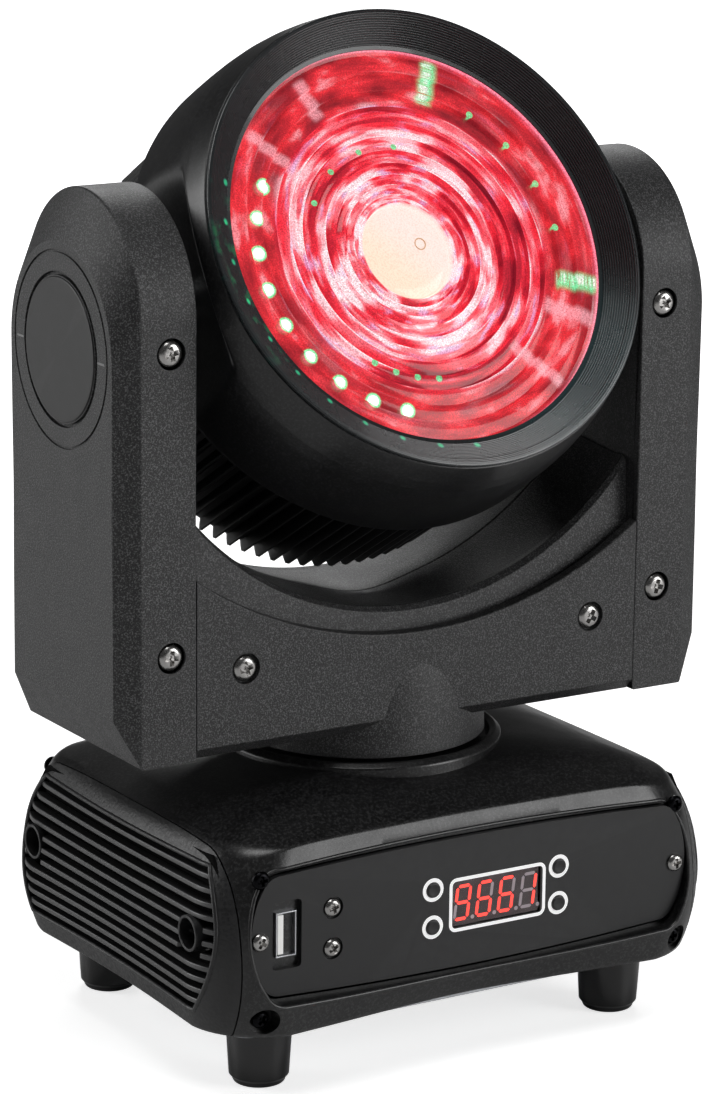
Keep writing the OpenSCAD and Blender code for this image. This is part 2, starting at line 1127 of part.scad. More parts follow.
module yoke_frame() {
    color("#7d8084")
    difference() {
        union() {
            translate([0, 0, frame_z + 1])
                cube([2 * frame_x + 2, 50, 2], center = true);
            for (s = SIDES)
                translate([s * (frame_x + 1), 0, 0])
                    along_x(2)
                        arm_outline(25, tilt_z, frame_z);
        }
        translate([0, 0, frame_z - 1])
            cylinder(r = shaft_bore_r, h = 4);
        translate([0, 0, tilt_z])
            rod_x(bearing_r + 0.02, 300);
        translate([-frame_x, 0, tilt_motor_z])
            rod_x(9.1, 10);
        for (s = SIDES)
            translate([s * frame_x, 0, 170])
                cube([10, 22, 50], center = true);
    }
}

module yoke_screws() {
    color("#b9bbbd") {
        for (s = [0, 1])
            mirror([s, 0, 0])
                arm_screw_places()
                    screw(l = 2.2);
        crossbar_screw_places()
            screw(l = 6);
    }
}

module tilt_bearings() {
    color("#a9acb0")
    for (s = SIDES)
        translate([s * (frame_x + 2.5), 0, tilt_z])
            difference() {
                rod_x(bearing_r, 5);
                rod_x(trunnion_r + run_gap, 10);
            }
}

module tilt_motor() {
    color("#2a2b2d")
    translate([-frame_x, 0, tilt_motor_z])
        difference() {
            union() {
                rotate([0, 90, 0])
                    motor_can(35, 26);
                rod_x(9, 4);
            }
            rod_x(2.5 + run_gap, 30);
        }
}

module tilt_belt() {
    color("#0e0e0f")
    translate([-tilt_pulley_x, 0, tilt_z])
        rotate([0, 90, 0])
            translate([0, 0, -tilt_belt_w - 0.5])
                linear_extrude(height = tilt_belt_w)
                    belt_loop(tilt_pulley_r, motor_r, tilt_z - tilt_motor_z);
}

module tilt_motor_pulley() {
    color("#c2c5c8")
    translate([-tilt_pulley_x, 0, tilt_motor_z]) {
        rotate([0, -90, 0])
            pulley(motor_r, 0, tilt_belt_w);
        translate([5, 0, 0])
            rod_x(2.5, 14);
    }
}

module driver_board() {
    color("#1f5a35")
    translate([frame_x + 10, 0, 158])
        cube([1.6, 40, 84], center = true);
    color("#26272a")
    for (z = [130, 150, 172])
        translate([frame_x + 12.6, -4, z])
            cube([3.6, 14, 12], center = true);
    color("#b9bcc0")
    for (y = SIDES, z = SIDES)
        translate([frame_x + 5.6, y * 17, 158 + z * 38])
            rod_x(2, 7.2);
}

// ----------------------------------------------------------------- head

// Puts the head's own frame in place: its Z axis becomes the lens axis
module head_place() {
    translate([0, 0, tilt_z])
        rotate([90 - rest_tilt, 0, 0])
            children();
}

// The space between the head's two flat sides, moved inwards by t
module side_flats(t) {
    x = flat_x - t;
    along_y(300)
        polygon([
            [-x, -100], [x, -100], [x, flat_front_l], [x + 9, flat_front_l + 9],
            [x + 40, flat_front_l + 9], [x + 40, 100], [-x - 40, 100],
            [-x - 40, flat_front_l + 9], [-x - 9, flat_front_l + 9], [-x, flat_front_l]
        ]);
}

module barrel_outside(t) {
    r = barrel_r - t;
    front = ring_r - t;
    rotate_extrude()
        polygon([
            [0, barrel_rear_l], [r, barrel_rear_l], [r - 0.1, 8], [r - 0.6, 18],
            [r - 1.5, 26], [r - 2.5, 31.5], [r - 3.6, 35], [front + 0.6, bezel_l - 0.1],
            [0, bezel_l - 0.1]
        ]);
}

module front_barrel() {
    color("#1b1b1d")
    head_place()
        difference() {
            intersection() {
                barrel_outside(0);
                side_flats(0);
            }
            intersection() {
                union() {
                    barrel_outside(wall);
                    translate([0, 0, barrel_rear_l - 1])
                        cylinder(r = barrel_r - wall, h = 2);
                    cylinder(r = ring_r - 4, h = 60);
                }
                side_flats(wall);
            }
            rod_x(trunnion_r + 0.6, 200);
        }
}

// A ring that lines the front, with fine steps down to the lens
module front_bezel() {
    color("#151516")
    head_place()
        rotate_extrude()
            polygon(concat(
                [[lens_r - 1.5, lens_back_l + 3.4], [ring_r - 3, lens_back_l + 3.4],
                 [ring_r - 3, bezel_l], [ring_r, bezel_l], [ring_r, front_l - 0.2],
                 [ring_r - 0.7, front_l]],
                [for (i = [0 : 2 * ridge_count - 1])
                    [ring_r - 0.7 - (ring_r - 0.7 - lens_r) * floor((i + 1) / 2) / ridge_count,
                     front_l - (front_l - lens_back_l - 4) * floor(i / 2 + 1) / ridge_count]]
            ));
}

// A stepped lens: each facet falls outwards, then steps up to the next
module fresnel_lens() {
    r0 = 14.5;
    step = (lens_r - 4 - r0) / facet_count;
    color([0.95, 0.55, 0.6, 0.4])
    head_place()
        rotate_extrude()
            polygon(concat(
                [[0, lens_back_l], [lens_r + 3, lens_back_l], [lens_r + 3, lens_back_l + 3.3],
                 [lens_r - 2.6, lens_back_l + 3.3], [lens_r - 3.6, lens_back_l + 1.4]],
                [for (i = [facet_count - 1 : -1 : 0], k = [1, 0])
                    [r0 + step * (i + k) - (k == 1 ? 0.2 : 0),
                     lens_back_l + (k == 1 ? 1.4 : 3)]],
                [for (a = [60 : -20 : 0])
                    [r0 * sin(a), lens_back_l + 2.2 + 1.1 * cos(a)]]
            ));
}

module led_ring() {
    color("#2a4a33")
    head_place()
        translate([0, 0, led_board_l])
            tube(lens_r - 0.5, 43, 1.6);
    color("#f4f6e8")
    head_place()
        for (i = [0 : ring_led_count - 1])
            rotate([0, 0, 360 * i / ring_led_count])
                translate([led_ring_r, 0, led_board_l + 2.3])
                    cube([5, 5, 1.6], center = true);
}

module reflector() {
    color("#d9dadb")
    head_place()
        rotate_extrude()
            polygon([
                [11, lamp_l + 3], [12.6, lamp_l + 3], [42.6, led_board_l], [42.6, led_board_l + 2],
                [41, led_board_l + 2]
            ]);
}

module lamp_module() {
    color("#e8e3d2")
    head_place() {
        translate([0, 0, lamp_l + 0.8])
            cube([36, 36, 1.6], center = true);
        translate([0, 0, lamp_l + 1.6])
            cylinder(r = 10, h = 1.2);
    }
}

module head_frame() {
    color("#7d8084")
    head_place()
        difference() {
            union() {
                translate([0, 0, lamp_l])
                    cylinder(r = 54, h = 2);
                translate([0, 0, lamp_l + 1])
                    cube([120, 30, 2], center = true);
                for (s = SIDES)
                    translate([s * 59, 0, 1])
                        cube([2, 34, 28], center = true);
                for (a = [45 : 90 : 315])
                    rotate([0, 0, a])
                        translate([50, 0, lamp_l])
                            cylinder(r = 2, h = led_board_l - lamp_l);
            }
            translate([0, 0, lamp_l - 1])
                cylinder(r = 27, h = 4);
            rod_x(shaft_bore_r - 2.5, 200);
        }
}

module trunnions() {
    color("#a9acb0")
    translate([0, 0, tilt_z])
        difference() {
            union() {
                translate([-(60 + 93) / 2, 0, 0])
                    rod_x(trunnion_r, 33);
                translate([(60 + 85) / 2, 0, 0])
                    rod_x(trunnion_r, 25);
                for (s = SIDES)
                    translate([s * 61.5, 0, 0])
                        rod_x(trunnion_flange_r, 3);
            }
            rod_x(trunnion_r - 2.5, 300);
        }
}

module tilt_pulley() {
    color("#c2c5c8")
    translate([-tilt_pulley_x, 0, tilt_z])
        rotate([0, -90, 0])
            difference() {
                pulley(tilt_pulley_r, trunnion_r + seat_gap, tilt_belt_w);
                for (a = [0 : 60 : 300])
                    rotate([0, 0, a])
                        translate([18.5, 0, -3])
                            cylinder(r = 5, h = 20);
            }
}

module heat_sink() {
    color("#9b9ea2")
    head_place() {
        translate([0, 0, lamp_l - 6])
            cylinder(r = 56, h = 6);
        intersection() {
            translate([0, 0, lamp_l - 21])
                cylinder(r = 56, h = 15.1);
            for (x = [-54 : 6 : 54])
                translate([x, 0, lamp_l - 13])
                    cube([1.6, 120, 17], center = true);
        }
    }
}

module rear_housing() {
    color("#161617")
    head_place()
        difference() {
            union() {
                intersection() {
                    difference() {
                        union() {
                            translate([0, 0, -rear_l])
                                cylinder(r = fin_root_r, h = rear_l - 3.4);
                            translate([0, 0, -7.6])
                                cylinder(r = barrel_r - 3, h = 4.2);
                            // Ribs, except where the flat sides would cut them
                            for (i = [0 : fin_count - 1]) {
                                a = 360 * (i + 0.5) / fin_count;
                                if (abs(fin_r * cos(a)) < flat_x - 1)
                                    rotate([0, 0, a])
                                        translate([fin_r - 5, -0.8, 0.6 - rear_l])
                                            cube([5, 1.6, rear_l - 7.6]);
                            }
                        }
                        translate([0, 0, 2.4 - rear_l])
                            cylinder(r = fin_root_r - wall, h = rear_l);
                    }
                    side_flats(0);
                }
                // Spigot that fits inside the barrel's rim
                intersection() {
                    translate([0, 0, -6])
                        tube(barrel_r - wall - 0.4, fin_root_r - 1.5, 7);
                    side_flats(wall + fit);
                }
                // Flat walls that close the two sides
                intersection() {
                    translate([0, 0, -rear_l])
                        cylinder(r = fin_root_r, h = rear_l - 3.4);
                    difference() {
                        side_flats(0);
                        side_flats(wall);
                    }
                }
            }
            // Air outlet, with guard rings left standing
            difference() {
                translate([0, 0, -rear_l - 1])
                    cylinder(r = 37, h = 4);
                for (r = [10, 19, 28])
                    translate([0, 0, -rear_l - 2])
                        tube(r + 1, r - 1, 8);
                translate([0, 0, -rear_l - 2])
                    cylinder(r = 4, h = 8);
                for (a = [0, 90])
                    rotate([0, 0, a + 45])
                        translate([0, 0, -rear_l])
                            cube([80, 2.4, 8], center = true);
            }
            rod_x(trunnion_r + 0.6, 200);
        }
}

module fan_frame() {
    color("#121213")
    head_place() {
        difference() {
            translate([0, 0, fan_l])
                linear_extrude(height = 13)
                    rounded_rect(80, 80, 4);
            translate([0, 0, fan_l - 1])
                cylinder(r = fan_r, h = 20);
        }
        translate([0, 0, fan_l])
            tube(15, 1.6, 1.6);
        for (a = [45 : 90 : 315])
            rotate([0, 0, a])
                translate([(15 + fan_r) / 2, 0, fan_l + 0.8])
                    cube([fan_r - 12, 3, 1.2], center = true);
    }
}

module fan_rotor() {
    color("#1a1a1b")
    head_place() {
        translate([0, 0, fan_l + 2.2])
            cylinder(r = 14, h = 10);
        translate([0, 0, fan_l + 0.2])
            cylinder(r = 1.6 - run_gap, h = 3);
        for (i = [0 : 6])
            rotate([0, 0, 360 * i / 7])
                translate([24.6, 0, fan_l + 7.2])
                    rotate([38, 0, 0])
                        cube([23, 12, 1.2], center = true);
    }
}

base_plate();
rubber_feet();
base_shell();
left_side_cover();
right_side_cover();
neck_ring();
control_panel();
display_module();
display_window();
menu_button();
enter_button();
up_button();
down_button();
control_board();
usb_socket();
panel_screws();
frame_screws();
side_cover_screws();
rear_panel();
signal_in_socket();
signal_out_socket();
socket_latch();
power_in_socket();
power_out_socket();
fuse_holder();
power_supply();
main_board();
chassis_plate();
pan_bearing();
pan_motor();
pan_belt();
pan_motor_pulley();
pan_shaft();
pan_pulley();
yoke_frame();
crossbar_front_cover();
crossbar_rear_cover();
left_arm_cover();
right_arm_cover();
arm_inner_covers();
arm_discs();
yoke_screws();
tilt_bearings();
tilt_motor();
tilt_belt();
driver_board();
tilt_motor_pulley();
trunnions();
tilt_pulley();
head_frame();
front_barrel();
front_bezel();
fresnel_lens();
led_ring();
reflector();
lamp_module();
heat_sink();
rear_housing();
fan_frame();
fan_rotor();
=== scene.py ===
"""Looks for a moving head wash light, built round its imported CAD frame. Lengths in this script are in mm."""
import math
import random

import bmesh
import bpy
from mathutils import Matrix, Vector
from mathutils.bvhtree import BVHTree


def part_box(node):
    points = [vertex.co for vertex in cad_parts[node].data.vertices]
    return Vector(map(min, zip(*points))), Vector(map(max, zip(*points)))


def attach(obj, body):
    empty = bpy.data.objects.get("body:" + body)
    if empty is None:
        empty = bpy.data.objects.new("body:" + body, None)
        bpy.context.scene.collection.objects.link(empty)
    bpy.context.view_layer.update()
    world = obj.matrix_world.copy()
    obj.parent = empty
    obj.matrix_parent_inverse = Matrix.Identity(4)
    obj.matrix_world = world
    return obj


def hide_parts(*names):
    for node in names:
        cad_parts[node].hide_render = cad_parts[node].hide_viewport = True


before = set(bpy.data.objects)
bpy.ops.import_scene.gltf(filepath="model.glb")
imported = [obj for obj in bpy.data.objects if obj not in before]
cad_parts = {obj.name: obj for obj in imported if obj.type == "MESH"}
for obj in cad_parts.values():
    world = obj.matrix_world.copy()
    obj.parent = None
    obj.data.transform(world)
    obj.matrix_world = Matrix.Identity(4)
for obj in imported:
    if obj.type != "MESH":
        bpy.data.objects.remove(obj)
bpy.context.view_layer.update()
MM = 0.001
ROOM_LIGHT = 0.06
TAU = 2 * math.pi
random.seed(7)


def span(node):
    """Lowest and highest corner of a CAD node, in mm."""
    lo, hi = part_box(node)
    return lo / MM, hi / MM


# ---------------------------------------------------------------- mesh tools

def rounded(points, closed=False, steps=5):
    """Joins points (u, v) or (u, v, radius) by straight lines, with an arc of that radius at a corner."""
    out = []
    n = len(points)
    for i, p in enumerate(points):
        r = p[2] if len(p) > 2 else 0
        b = Vector(p[:2])
        if r == 0 or (not closed and i in (0, n - 1)):
            out.append(tuple(b))
            continue
        u = Vector(points[i - 1][:2]) - b
        w = Vector(points[(i + 1) % n][:2]) - b
        lu, lw = u.length, w.length
        u.normalize()
        w.normalize()
        half = u.angle(w) / 2
        if half > math.pi / 2 - 0.01:
            out.extend([tuple(b)] * (steps + 1))
            continue
        d = min(r / math.tan(half), 0.49 * lu, 0.49 * lw)
        c = b + (u + w).normalized() * (d / math.cos(half))
        s, e = b + u * d - c, b + w * d - c
        a0 = math.atan2(s.y, s.x)
        turn = (math.atan2(e.y, e.x) - a0 + math.pi) % TAU - math.pi
        out.extend((c.x + s.length * math.cos(a0 + turn * k / steps),
                    c.y + s.length * math.sin(a0 + turn * k / steps)) for k in range(steps + 1))
    return out


def skin(rows, wrap=True, loop=False, caps=False):
    """Quads between rows of points. wrap joins each row's ends, loop joins the last row to the first."""
    n = len(rows[0])
    verts = [p for row in rows for p in row]
    faces = []
    m = len(rows)
    for i in range(m if loop else m - 1):
        a, b = i * n, ((i + 1) % m) * n
        for k in range(n if wrap else n - 1):
            k2 = (k + 1) % n
            faces.append((a + k, a + k2, b + k2, b + k))
    if caps:
        faces.append(tuple(range(n - 1, -1, -1)))
        faces.append(tuple(range((m - 1) * n, m * n)))
    return verts, faces


def lathe(profile, n=96, start=0.0, turn=TAU, closed=False):
    """Turns a profile of (radius, height) about Z, all the way round or through part of a turn."""
    whole = abs(turn - TAU) < 1e-6
    angles = [start + turn * k / n for k in range(n if whole else n + 1)]
    rows = [[(r * math.cos(a), r * math.sin(a), z) for a in angles] for r, z in profile]
    return skin(rows, wrap=whole, loop=closed)


def rod(r, low, high, n=40):
    """A plain cylinder along Z."""
    return lathe([(0, low), (r, low), (r, high), (0, high)], n)


def soft_box(cx, cy, w, h, r):
    """Outline of a rectangle with round corners, given its middle and its half sizes."""
    corners = ((-w, -h), (w, -h), (w, h), (-w, h))
    return rounded([(cx + u, cy + v, r) for u, v in corners], closed=True)


def prism(outline, low, high, place=lambda u, v, w: (u, v, w)):
    """A closed solid from a 2D outline between two heights, its points placed by place(u, v, w)."""
    rows = [[place(u, v, w) for u, v in outline] for w in (low, high)]
    return skin(rows, caps=True)


def join(*parts):
    """One part made of several."""
    verts, faces = [], []
    for v, f in parts:
        base = len(verts)
        verts.extend(v)
        faces.extend(tuple(i + base for i in face) for face in f)
    return verts, faces


def moved(part, matrix):
    """A part carried through a matrix."""
    return [tuple(matrix @ Vector(v)) for v in part[0]], part[1]


def turned(axis, deg, at=(0, 0, 0)):
    """A turn about an axis, then a shift to at."""
    return Matrix.Translation(at) @ Matrix.Rotation(math.radians(deg), 4, axis)


def raw(name, part):
    """A mesh object in metres, with doubles merged and normals facing out."""
    me = bpy.data.meshes.new(name)
    me.from_pydata([tuple(c * MM for c in v) for v in part[0]], [], part[1])
    bm = bmesh.new()
    bm.from_mesh(me)
    bmesh.ops.remove_doubles(bm, verts=bm.verts, dist=0.4e-6)
    bmesh.ops.recalc_face_normals(bm, faces=bm.faces)
    bm.to_mesh(me)
    bm.free()
    o = bpy.data.objects.new(name, me)
    bpy.context.scene.collection.objects.link(o)
    return o


def shade(o, sharp=38):
    """Smooth shading, with edges sharper than so many degrees kept sharp."""
    bm = bmesh.new()
    bm.from_mesh(o.data)
    for f in bm.faces:
        f.smooth = True
    for e in bm.edges:
        e.smooth = not (len(e.link_faces) == 2 and e.calc_face_angle(0) > math.radians(sharp))
    bm.to_mesh(o.data)
    bm.free()


def bake(o):
    """Applies an object's modifiers."""
    me = bpy.data.meshes.new_from_object(o.evaluated_get(bpy.context.evaluated_depsgraph_get()))
    o.modifiers.clear()
    o.data = me


def carve(o, tools, open_shell=False):
    """Cuts solids out of an object, then removes them."""
    for tool in tools:
        m = o.modifiers.new("carve", "BOOLEAN")
        m.operation = "DIFFERENCE"
        m.solver = "EXACT"
        m.use_hole_tolerant = open_shell
        m.object = tool
    bpy.context.view_layer.update()
    bake(o)
    for tool in tools:
        bpy.data.objects.remove(tool)


def soften(o, width, segments, degrees):
    """Rounds the edges that are sharper than so many degrees."""
    m = o.modifiers.new("bevel", "BEVEL")
    m.width = width * MM
    m.segments = segments
    m.limit_method = "ANGLE"
    m.angle_limit = math.radians(degrees)
    return m


def piece(name, part, body, material, replaces=(), sharp=38, place=None, bevel=0.0):
    """Finishes a piece: shading, material and body, hiding the CAD nodes it replaces. part is geometry or an
    object made by raw().
    """
    o = raw(name, part) if isinstance(part, tuple) else part
    if bevel:
        soften(o, bevel, 3, 35)
        bpy.context.view_layer.update()
        bake(o)
    shade(o, sharp)
    even = o.modifiers.new("normals", "WEIGHTED_NORMAL")
    even.keep_sharp = True
    o.data.materials.clear()
    o.data.materials.append(material)
    if place is not None:
        o.matrix_world = place
    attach(o, body)
    if replaces:
        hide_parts(*replaces)
    return o


def sweep(path, section, closed=True, up=Vector((0, 0, 1))):
    """Sweeps a closed 2D section (side, up) along a path of points."""
    rows = []
    n = len(path)
    for i, p in enumerate(path):
        a = Vector(path[i - 1] if closed or i else path[0])
        b = Vector(path[(i + 1) % n] if closed or i < n - 1 else path[-1])
        t = (b - a).normalized()
        side = t.cross(up).normalized()
        top = side.cross(t)
        rows.append([tuple(Vector(p) + side * u + top * v) for u, v in section])
    return skin(rows, loop=closed, caps=not closed)


def circle(r, n=12):
    return [(r * math.cos(TAU * k / n), r * math.sin(TAU * k / n)) for k in range(n)]


# ----------------------------------------------------------------- materials

class Nodes:
    """A small helper for building a material's node tree."""

    def __init__(self, name):
        self.mat = bpy.data.materials.new(name)
        self.mat.use_nodes = True
        self.tree = self.mat.node_tree
        self.bsdf = next(n for n in self.tree.nodes if n.type == "BSDF_PRINCIPLED")
        self.coord = self.add("ShaderNodeTexCoord").outputs["Object"]

    def add(self, kind, **values):
        node = self.tree.nodes.new(kind)
        for key, value in values.items():
            if key in node.inputs:
                self.put(node.inputs[key], value)
            else:
                setattr(node, key, value)
        return node

    def put(self, socket, value):
        if isinstance(value, bpy.types.NodeSocket):
            self.tree.links.new(value, socket)
        else:
            socket.default_value = value

    def set(self, **values):
        for key, value in values.items():
            self.put(self.bsdf.inputs[key.replace("_", " ")], value)

    def noise(self, size, detail=3.0, rough=0.55, coord=None):
        node = self.add("ShaderNodeTexNoise", Scale=1 / (size * MM), Detail=detail, Roughness=rough)
        self.put(node.inputs["Vector"], coord or self.coord)
        return node.outputs["Fac"]

    def cells(self, size, feature="F1"):
        node = self.add("ShaderNodeTexVoronoi", Scale=1 / (size * MM))
        node.feature = feature
        self.put(node.inputs["Vector"], self.coord)
        return node.outputs["Distance"]

    def math(self, op, a, b=0.0, c=0.0):
        node = self.add("ShaderNodeMath")
        node.operation = op
        for socket, value in zip(node.inputs, (a, b, c)):
            self.put(socket, value)
        return node.outputs[0]

    def ramp(self, fac, stops):
        node = self.add("ShaderNodeValToRGB")
        node.color_ramp.interpolation = "EASE"
        els = node.color_ramp.elements
        while len(els) < len(stops):
            els.new(0.5)
        for el, (pos, col) in zip(els, stops):
            el.position = pos
            el.color = (*col, 1)
        self.put(node.inputs["Fac"], fac)
        return node.outputs["Color"]

    def mix(self, fac, a, b, blend="MIX"):
        node = self.add("ShaderNodeMix")
        node.data_type = "RGBA"
        node.blend_type = blend
        for key, value in (("Factor", fac), ("A", a), ("B", b)):
            socket = next(s for s in node.inputs if s.name == key and s.enabled)
            if not isinstance(value, (float, int, bpy.types.NodeSocket)) and len(value) == 3:
                value = (*value, 1)
            self.put(socket, value)
        return next(s for s in node.outputs if s.enabled)

    def bump(self, *layers):
        """Stacks (height socket, distance in mm, strength) layers into the shader's normal."""
        normal = None
        for height, distance, strength in layers:
            node = self.add("ShaderNodeBump", Height=height, Distance=distance * MM, Strength=strength)
            if normal is not None:
                self.put(node.inputs["Normal"], normal)
            normal = node.outputs["Normal"]
        self.put(self.bsdf.inputs["Normal"], normal)


BLACK, WHITE = (0, 0, 0), (1, 1, 1)


def edges(k, col, light, amount=0.5):
    """Lightens a colour slightly where the surface is convex: partly wear from handling, partly a painted
    highlight along the edges.
    """
    geo = k.add("ShaderNodeNewGeometry").outputs["Pointiness"]
    wear_and_highlight = k.math("MULTIPLY", k.ramp(geo, [(0.505, BLACK), (0.56, WHITE)]), amount)
    return k.mix(k.math("MULTIPLY", wear_and_highlight, k.noise(3.0, 2)), col, light)


def shades(base, factor, lift=0.0):
    """A colour made darker or lighter by a factor."""
    return tuple(c * factor + lift for c in base)


def plastic(name, base, rough, grain=0.6, height=0.06, strength=0.5,
            fleck=0.0, coat=0.0, spread=0.1, sheen=0.5):
    """Moulded or powder-coated plastic: mottled colour, a grained surface and fine flecks."""
    k = Nodes(name)
    col = k.mix(k.noise(14.0, 3), shades(base, 1 - spread * 2), shades(base, 1 + spread * 2))
    fine = k.noise(grain, 4, 0.65)
    if fleck:
        speckle = k.noise(grain, 2, 0.75)
        dust = k.ramp(speckle, [(0.51, BLACK), (0.62, WHITE)])
        pits = k.ramp(speckle, [(0.34, WHITE), (0.46, BLACK)])
        col = k.mix(pits, col, shades(base, 0.2))
        col = k.mix(k.math("MULTIPLY", dust, fleck), col, shades(base, 4, 0.05))
    # Convex edges lighter: partly wear, partly painted highlight
    col = edges(k, col, shades(base, 2.2, 0.01), 0.6)
    k.set(Base_Color=col, Coat_Weight=coat, Coat_Roughness=0.12, Specular_IOR_Level=sheen)
    k.set(Roughness=k.math("MULTIPLY_ADD", k.noise(9.0, 3), 0.16, rough - 0.08))
    k.bump((k.noise(30.0, 2), 0.03, 0.08), (fine, height, strength))
    return k.mat


def leather(name, base, rough):
    """Black plastic moulded with a leather-like grain."""
    k = Nodes(name)
    cells = k.cells(1.1)
    col = k.mix(k.noise(12.0, 3), shades(base, 0.75), shades(base, 1.25))
    # Convex edges lighter: partly wear, partly painted highlight
    col = edges(k, col, shades(base, 2, 0.01), 0.5)
    k.set(Base_Color=col, Roughness=k.math("MULTIPLY_ADD", cells, 0.25, rough - 0.08))
    k.bump((cells, 0.10, 0.55), (k.noise(0.35, 3), 0.03, 0.35))
    return k.mat


def metal(name, base, rough, grain=0.5, stretch=(1, 1, 1), spread=0.08):
    """Bare or plated metal, its grain drawn out by stretch."""
    k = Nodes(name)
    mapping = k.add("ShaderNodeMapping")
    mapping.inputs["Scale"].default_value = stretch
    k.put(mapping.inputs["Vector"], k.coord)
    fine = k.noise(grain, 4, 0.6, mapping.outputs["Vector"])
    col = k.mix(k.noise(6.0, 3), shades(base, 1 - spread), shades(base, 1 + spread))
    k.set(Base_Color=col, Metallic=1.0, Roughness=k.math("MULTIPLY_ADD", fine, 0.2, rough - 0.1))
    k.bump((fine, 0.015, 0.35))
    return k.mat


def printed(name, base, glow=None, power=0.0):
    """Ink or clear plastic, plain or with a glow. The glow is the light of lamps, LEDs and lit segments; on
    the white print, the unlit segments, the USB tongue and the LEDs that are off it is painted light.
    """
    k = Nodes(name)
    col = k.mix(k.noise(1.5, 3), shades(base, 0.9), base)
    k.set(Base_Color=col, Roughness=k.math("MULTIPLY_ADD", k.noise(0.8, 3), 0.2, 0.3))
    k.bump((k.noise(0.25, 2), 0.01, 0.3))
    if glow:
        k.set(Emission_Color=(*glow, 1), Emission_Strength=power)
    return k.mat


def board(name, base):
    """A circuit board with raised tracks."""
    k = Nodes(name)
    tracks = k.ramp(k.cells(3.0, "DISTANCE_TO_EDGE"), [(0.03, WHITE), (0.06, BLACK)])
    col = k.mix(tracks, base, shades(base, 1.8))
    k.set(Base_Color=col, Roughness=0.35)
    k.bump((tracks, 0.03, 0.4))
    return k.mat


M = {
    "yoke": plastic("charcoal_grain", (0.011, 0.011, 0.0115), 0.46, 0.5, 0.16, 1.0, fleck=1.0),
    "base": plastic("satin_black", (0.006, 0.006, 0.0063), 0.33, 0.9, 0.07, 0.4, fleck=0.3, coat=0.1),
    "side": leather("leather_grain", (0.010, 0.010, 0.0105), 0.36),
    "barrel": plastic("barrel_black", (0.004, 0.004, 0.0045), 0.32, 0.8, 0.05, 0.35, fleck=0.25, coat=0.08),
    "fins": plastic("rib_black", (0.004, 0.004, 0.0043), 0.40, 0.7, 0.05, 0.4),
    "dark": plastic("deep_black", (0.0015, 0.0015, 0.0016), 0.6, 0.7, 0.04, 0.4, sheen=0.08),
    "panel": plastic("panel_satin", (0.0065, 0.0065, 0.0071), 0.40, 0.5, 0.02, 0.25, spread=0.04),
    "feet": plastic("foot_gloss", (0.0025, 0.0025, 0.0027), 0.2, 2.0, 0.03, 0.2, coat=0.2),
    "key": plastic("key_black", (0.008, 0.008, 0.009), 0.34, 0.6, 0.03, 0.35),
    "rubber": plastic("belt_rubber", (0.015, 0.015, 0.015), 0.7, 0.5, 0.08, 0.6),
    "connector": plastic("connector_black", (0.02, 0.02, 0.021), 0.4, 0.7, 0.04, 0.4),
    "nickel": metal("nickel_plate", (0.42, 0.41, 0.40), 0.24, 0.4),
    "oxide": metal("black_oxide", (0.008, 0.008, 0.009), 0.30, 0.4),
    "steel": metal("turned_steel", (0.55, 0.56, 0.58), 0.32, 0.5, (1, 1, 8)),
    "sheet": metal("zinc_sheet", (0.46, 0.47, 0.49), 0.42, 2.0),
    "alloy": metal("alloy", (0.72, 0.73, 0.75), 0.35, 0.6, (1, 1, 6)),
    # The white print glows a little: painted light, though it is no lamp
    "white": printed("white_print_painted_glow", (0.92, 0.92, 0.92), (1, 1, 1), 0.35),
    # Unlit segments glow faintly: painted light that lightens them
    "unlit": printed("unlit_segment_painted_glow", (0.40, 0.37, 0.40), (1, 0.9, 1), 0.06),
    "lit": printed("lit_segment", (0.95, 0.12, 0.08), (1.0, 0.045, 0.035), 1.25),
    "window": plastic("display_face", (0.035, 0.028, 0.030), 0.18, 0.6, 0.01, 0.1, coat=0.4),
    "pcb": board("circuit_board", (0.03, 0.13, 0.06)),
    # The tongue glows a little: painted light, though it is no lamp
    "ivory": printed("ivory_tongue_painted_glow", (0.88, 0.88, 0.86), (1, 1, 0.97), 0.15),
}


def length(k, x, y):
    return k.math("SQRT", k.math("ADD", k.math("MULTIPLY", x, x), k.math("MULTIPLY", y, y)))


def lens_pattern(k):
    """Place, radius and direction round the lens axis, in mm and radians."""
    sep = k.add("ShaderNodeSeparateXYZ")
    k.put(sep.inputs[0], k.coord)
    x = k.math("MULTIPLY", sep.outputs[0], 1 / MM)
    y = k.math("MULTIPLY", sep.outputs[1], 1 / MM)
    return x, y, length(k, x, y), k.math("ARCTAN2", y, x)


def streaks(k, r, a, radial, around):
    """Noise drawn out along circles: fast across the radius, slow around it."""
    comb = k.add("ShaderNodeCombineXYZ")
    k.put(comb.inputs[0], k.math("MULTIPLY", r, radial * 4))
    k.put(comb.inputs[1], k.math("MULTIPLY", k.math("COSINE", a), around))
    k.put(comb.inputs[2], k.math("MULTIPLY", k.math("SINE", a), around))
    node = k.add("ShaderNodeTexNoise", Scale=1.0, Detail=4.0, Roughness=0.6)
    k.put(node.inputs["Vector"], comb.outputs[0])
    return node.outputs["Fac"]


FACET_R0, FACET_B, FACET_C = 14.6, 2.46, 0.14


def facet_radius(i):
    """Radius of the lens's i-th step."""
    return FACET_R0 + FACET_B * i + FACET_C * i * i


def step(k, value, a, b):
    """Rises smoothly from 0 at a to 1 at b; falls when b is less than a."""
    node = k.add("ShaderNodeMapRange")
    node.interpolation_type = "SMOOTHSTEP"
    k.put(node.inputs["Value"], value)
    lo, hi, out = (a, b, (0, 1)) if a < b else (b, a, (1, 0))
    node.inputs["From Min"].default_value = lo
    node.inputs["From Max"].default_value = hi
    node.inputs["To Min"].default_value, node.inputs["To Max"].default_value = out
    return node.outputs[0]


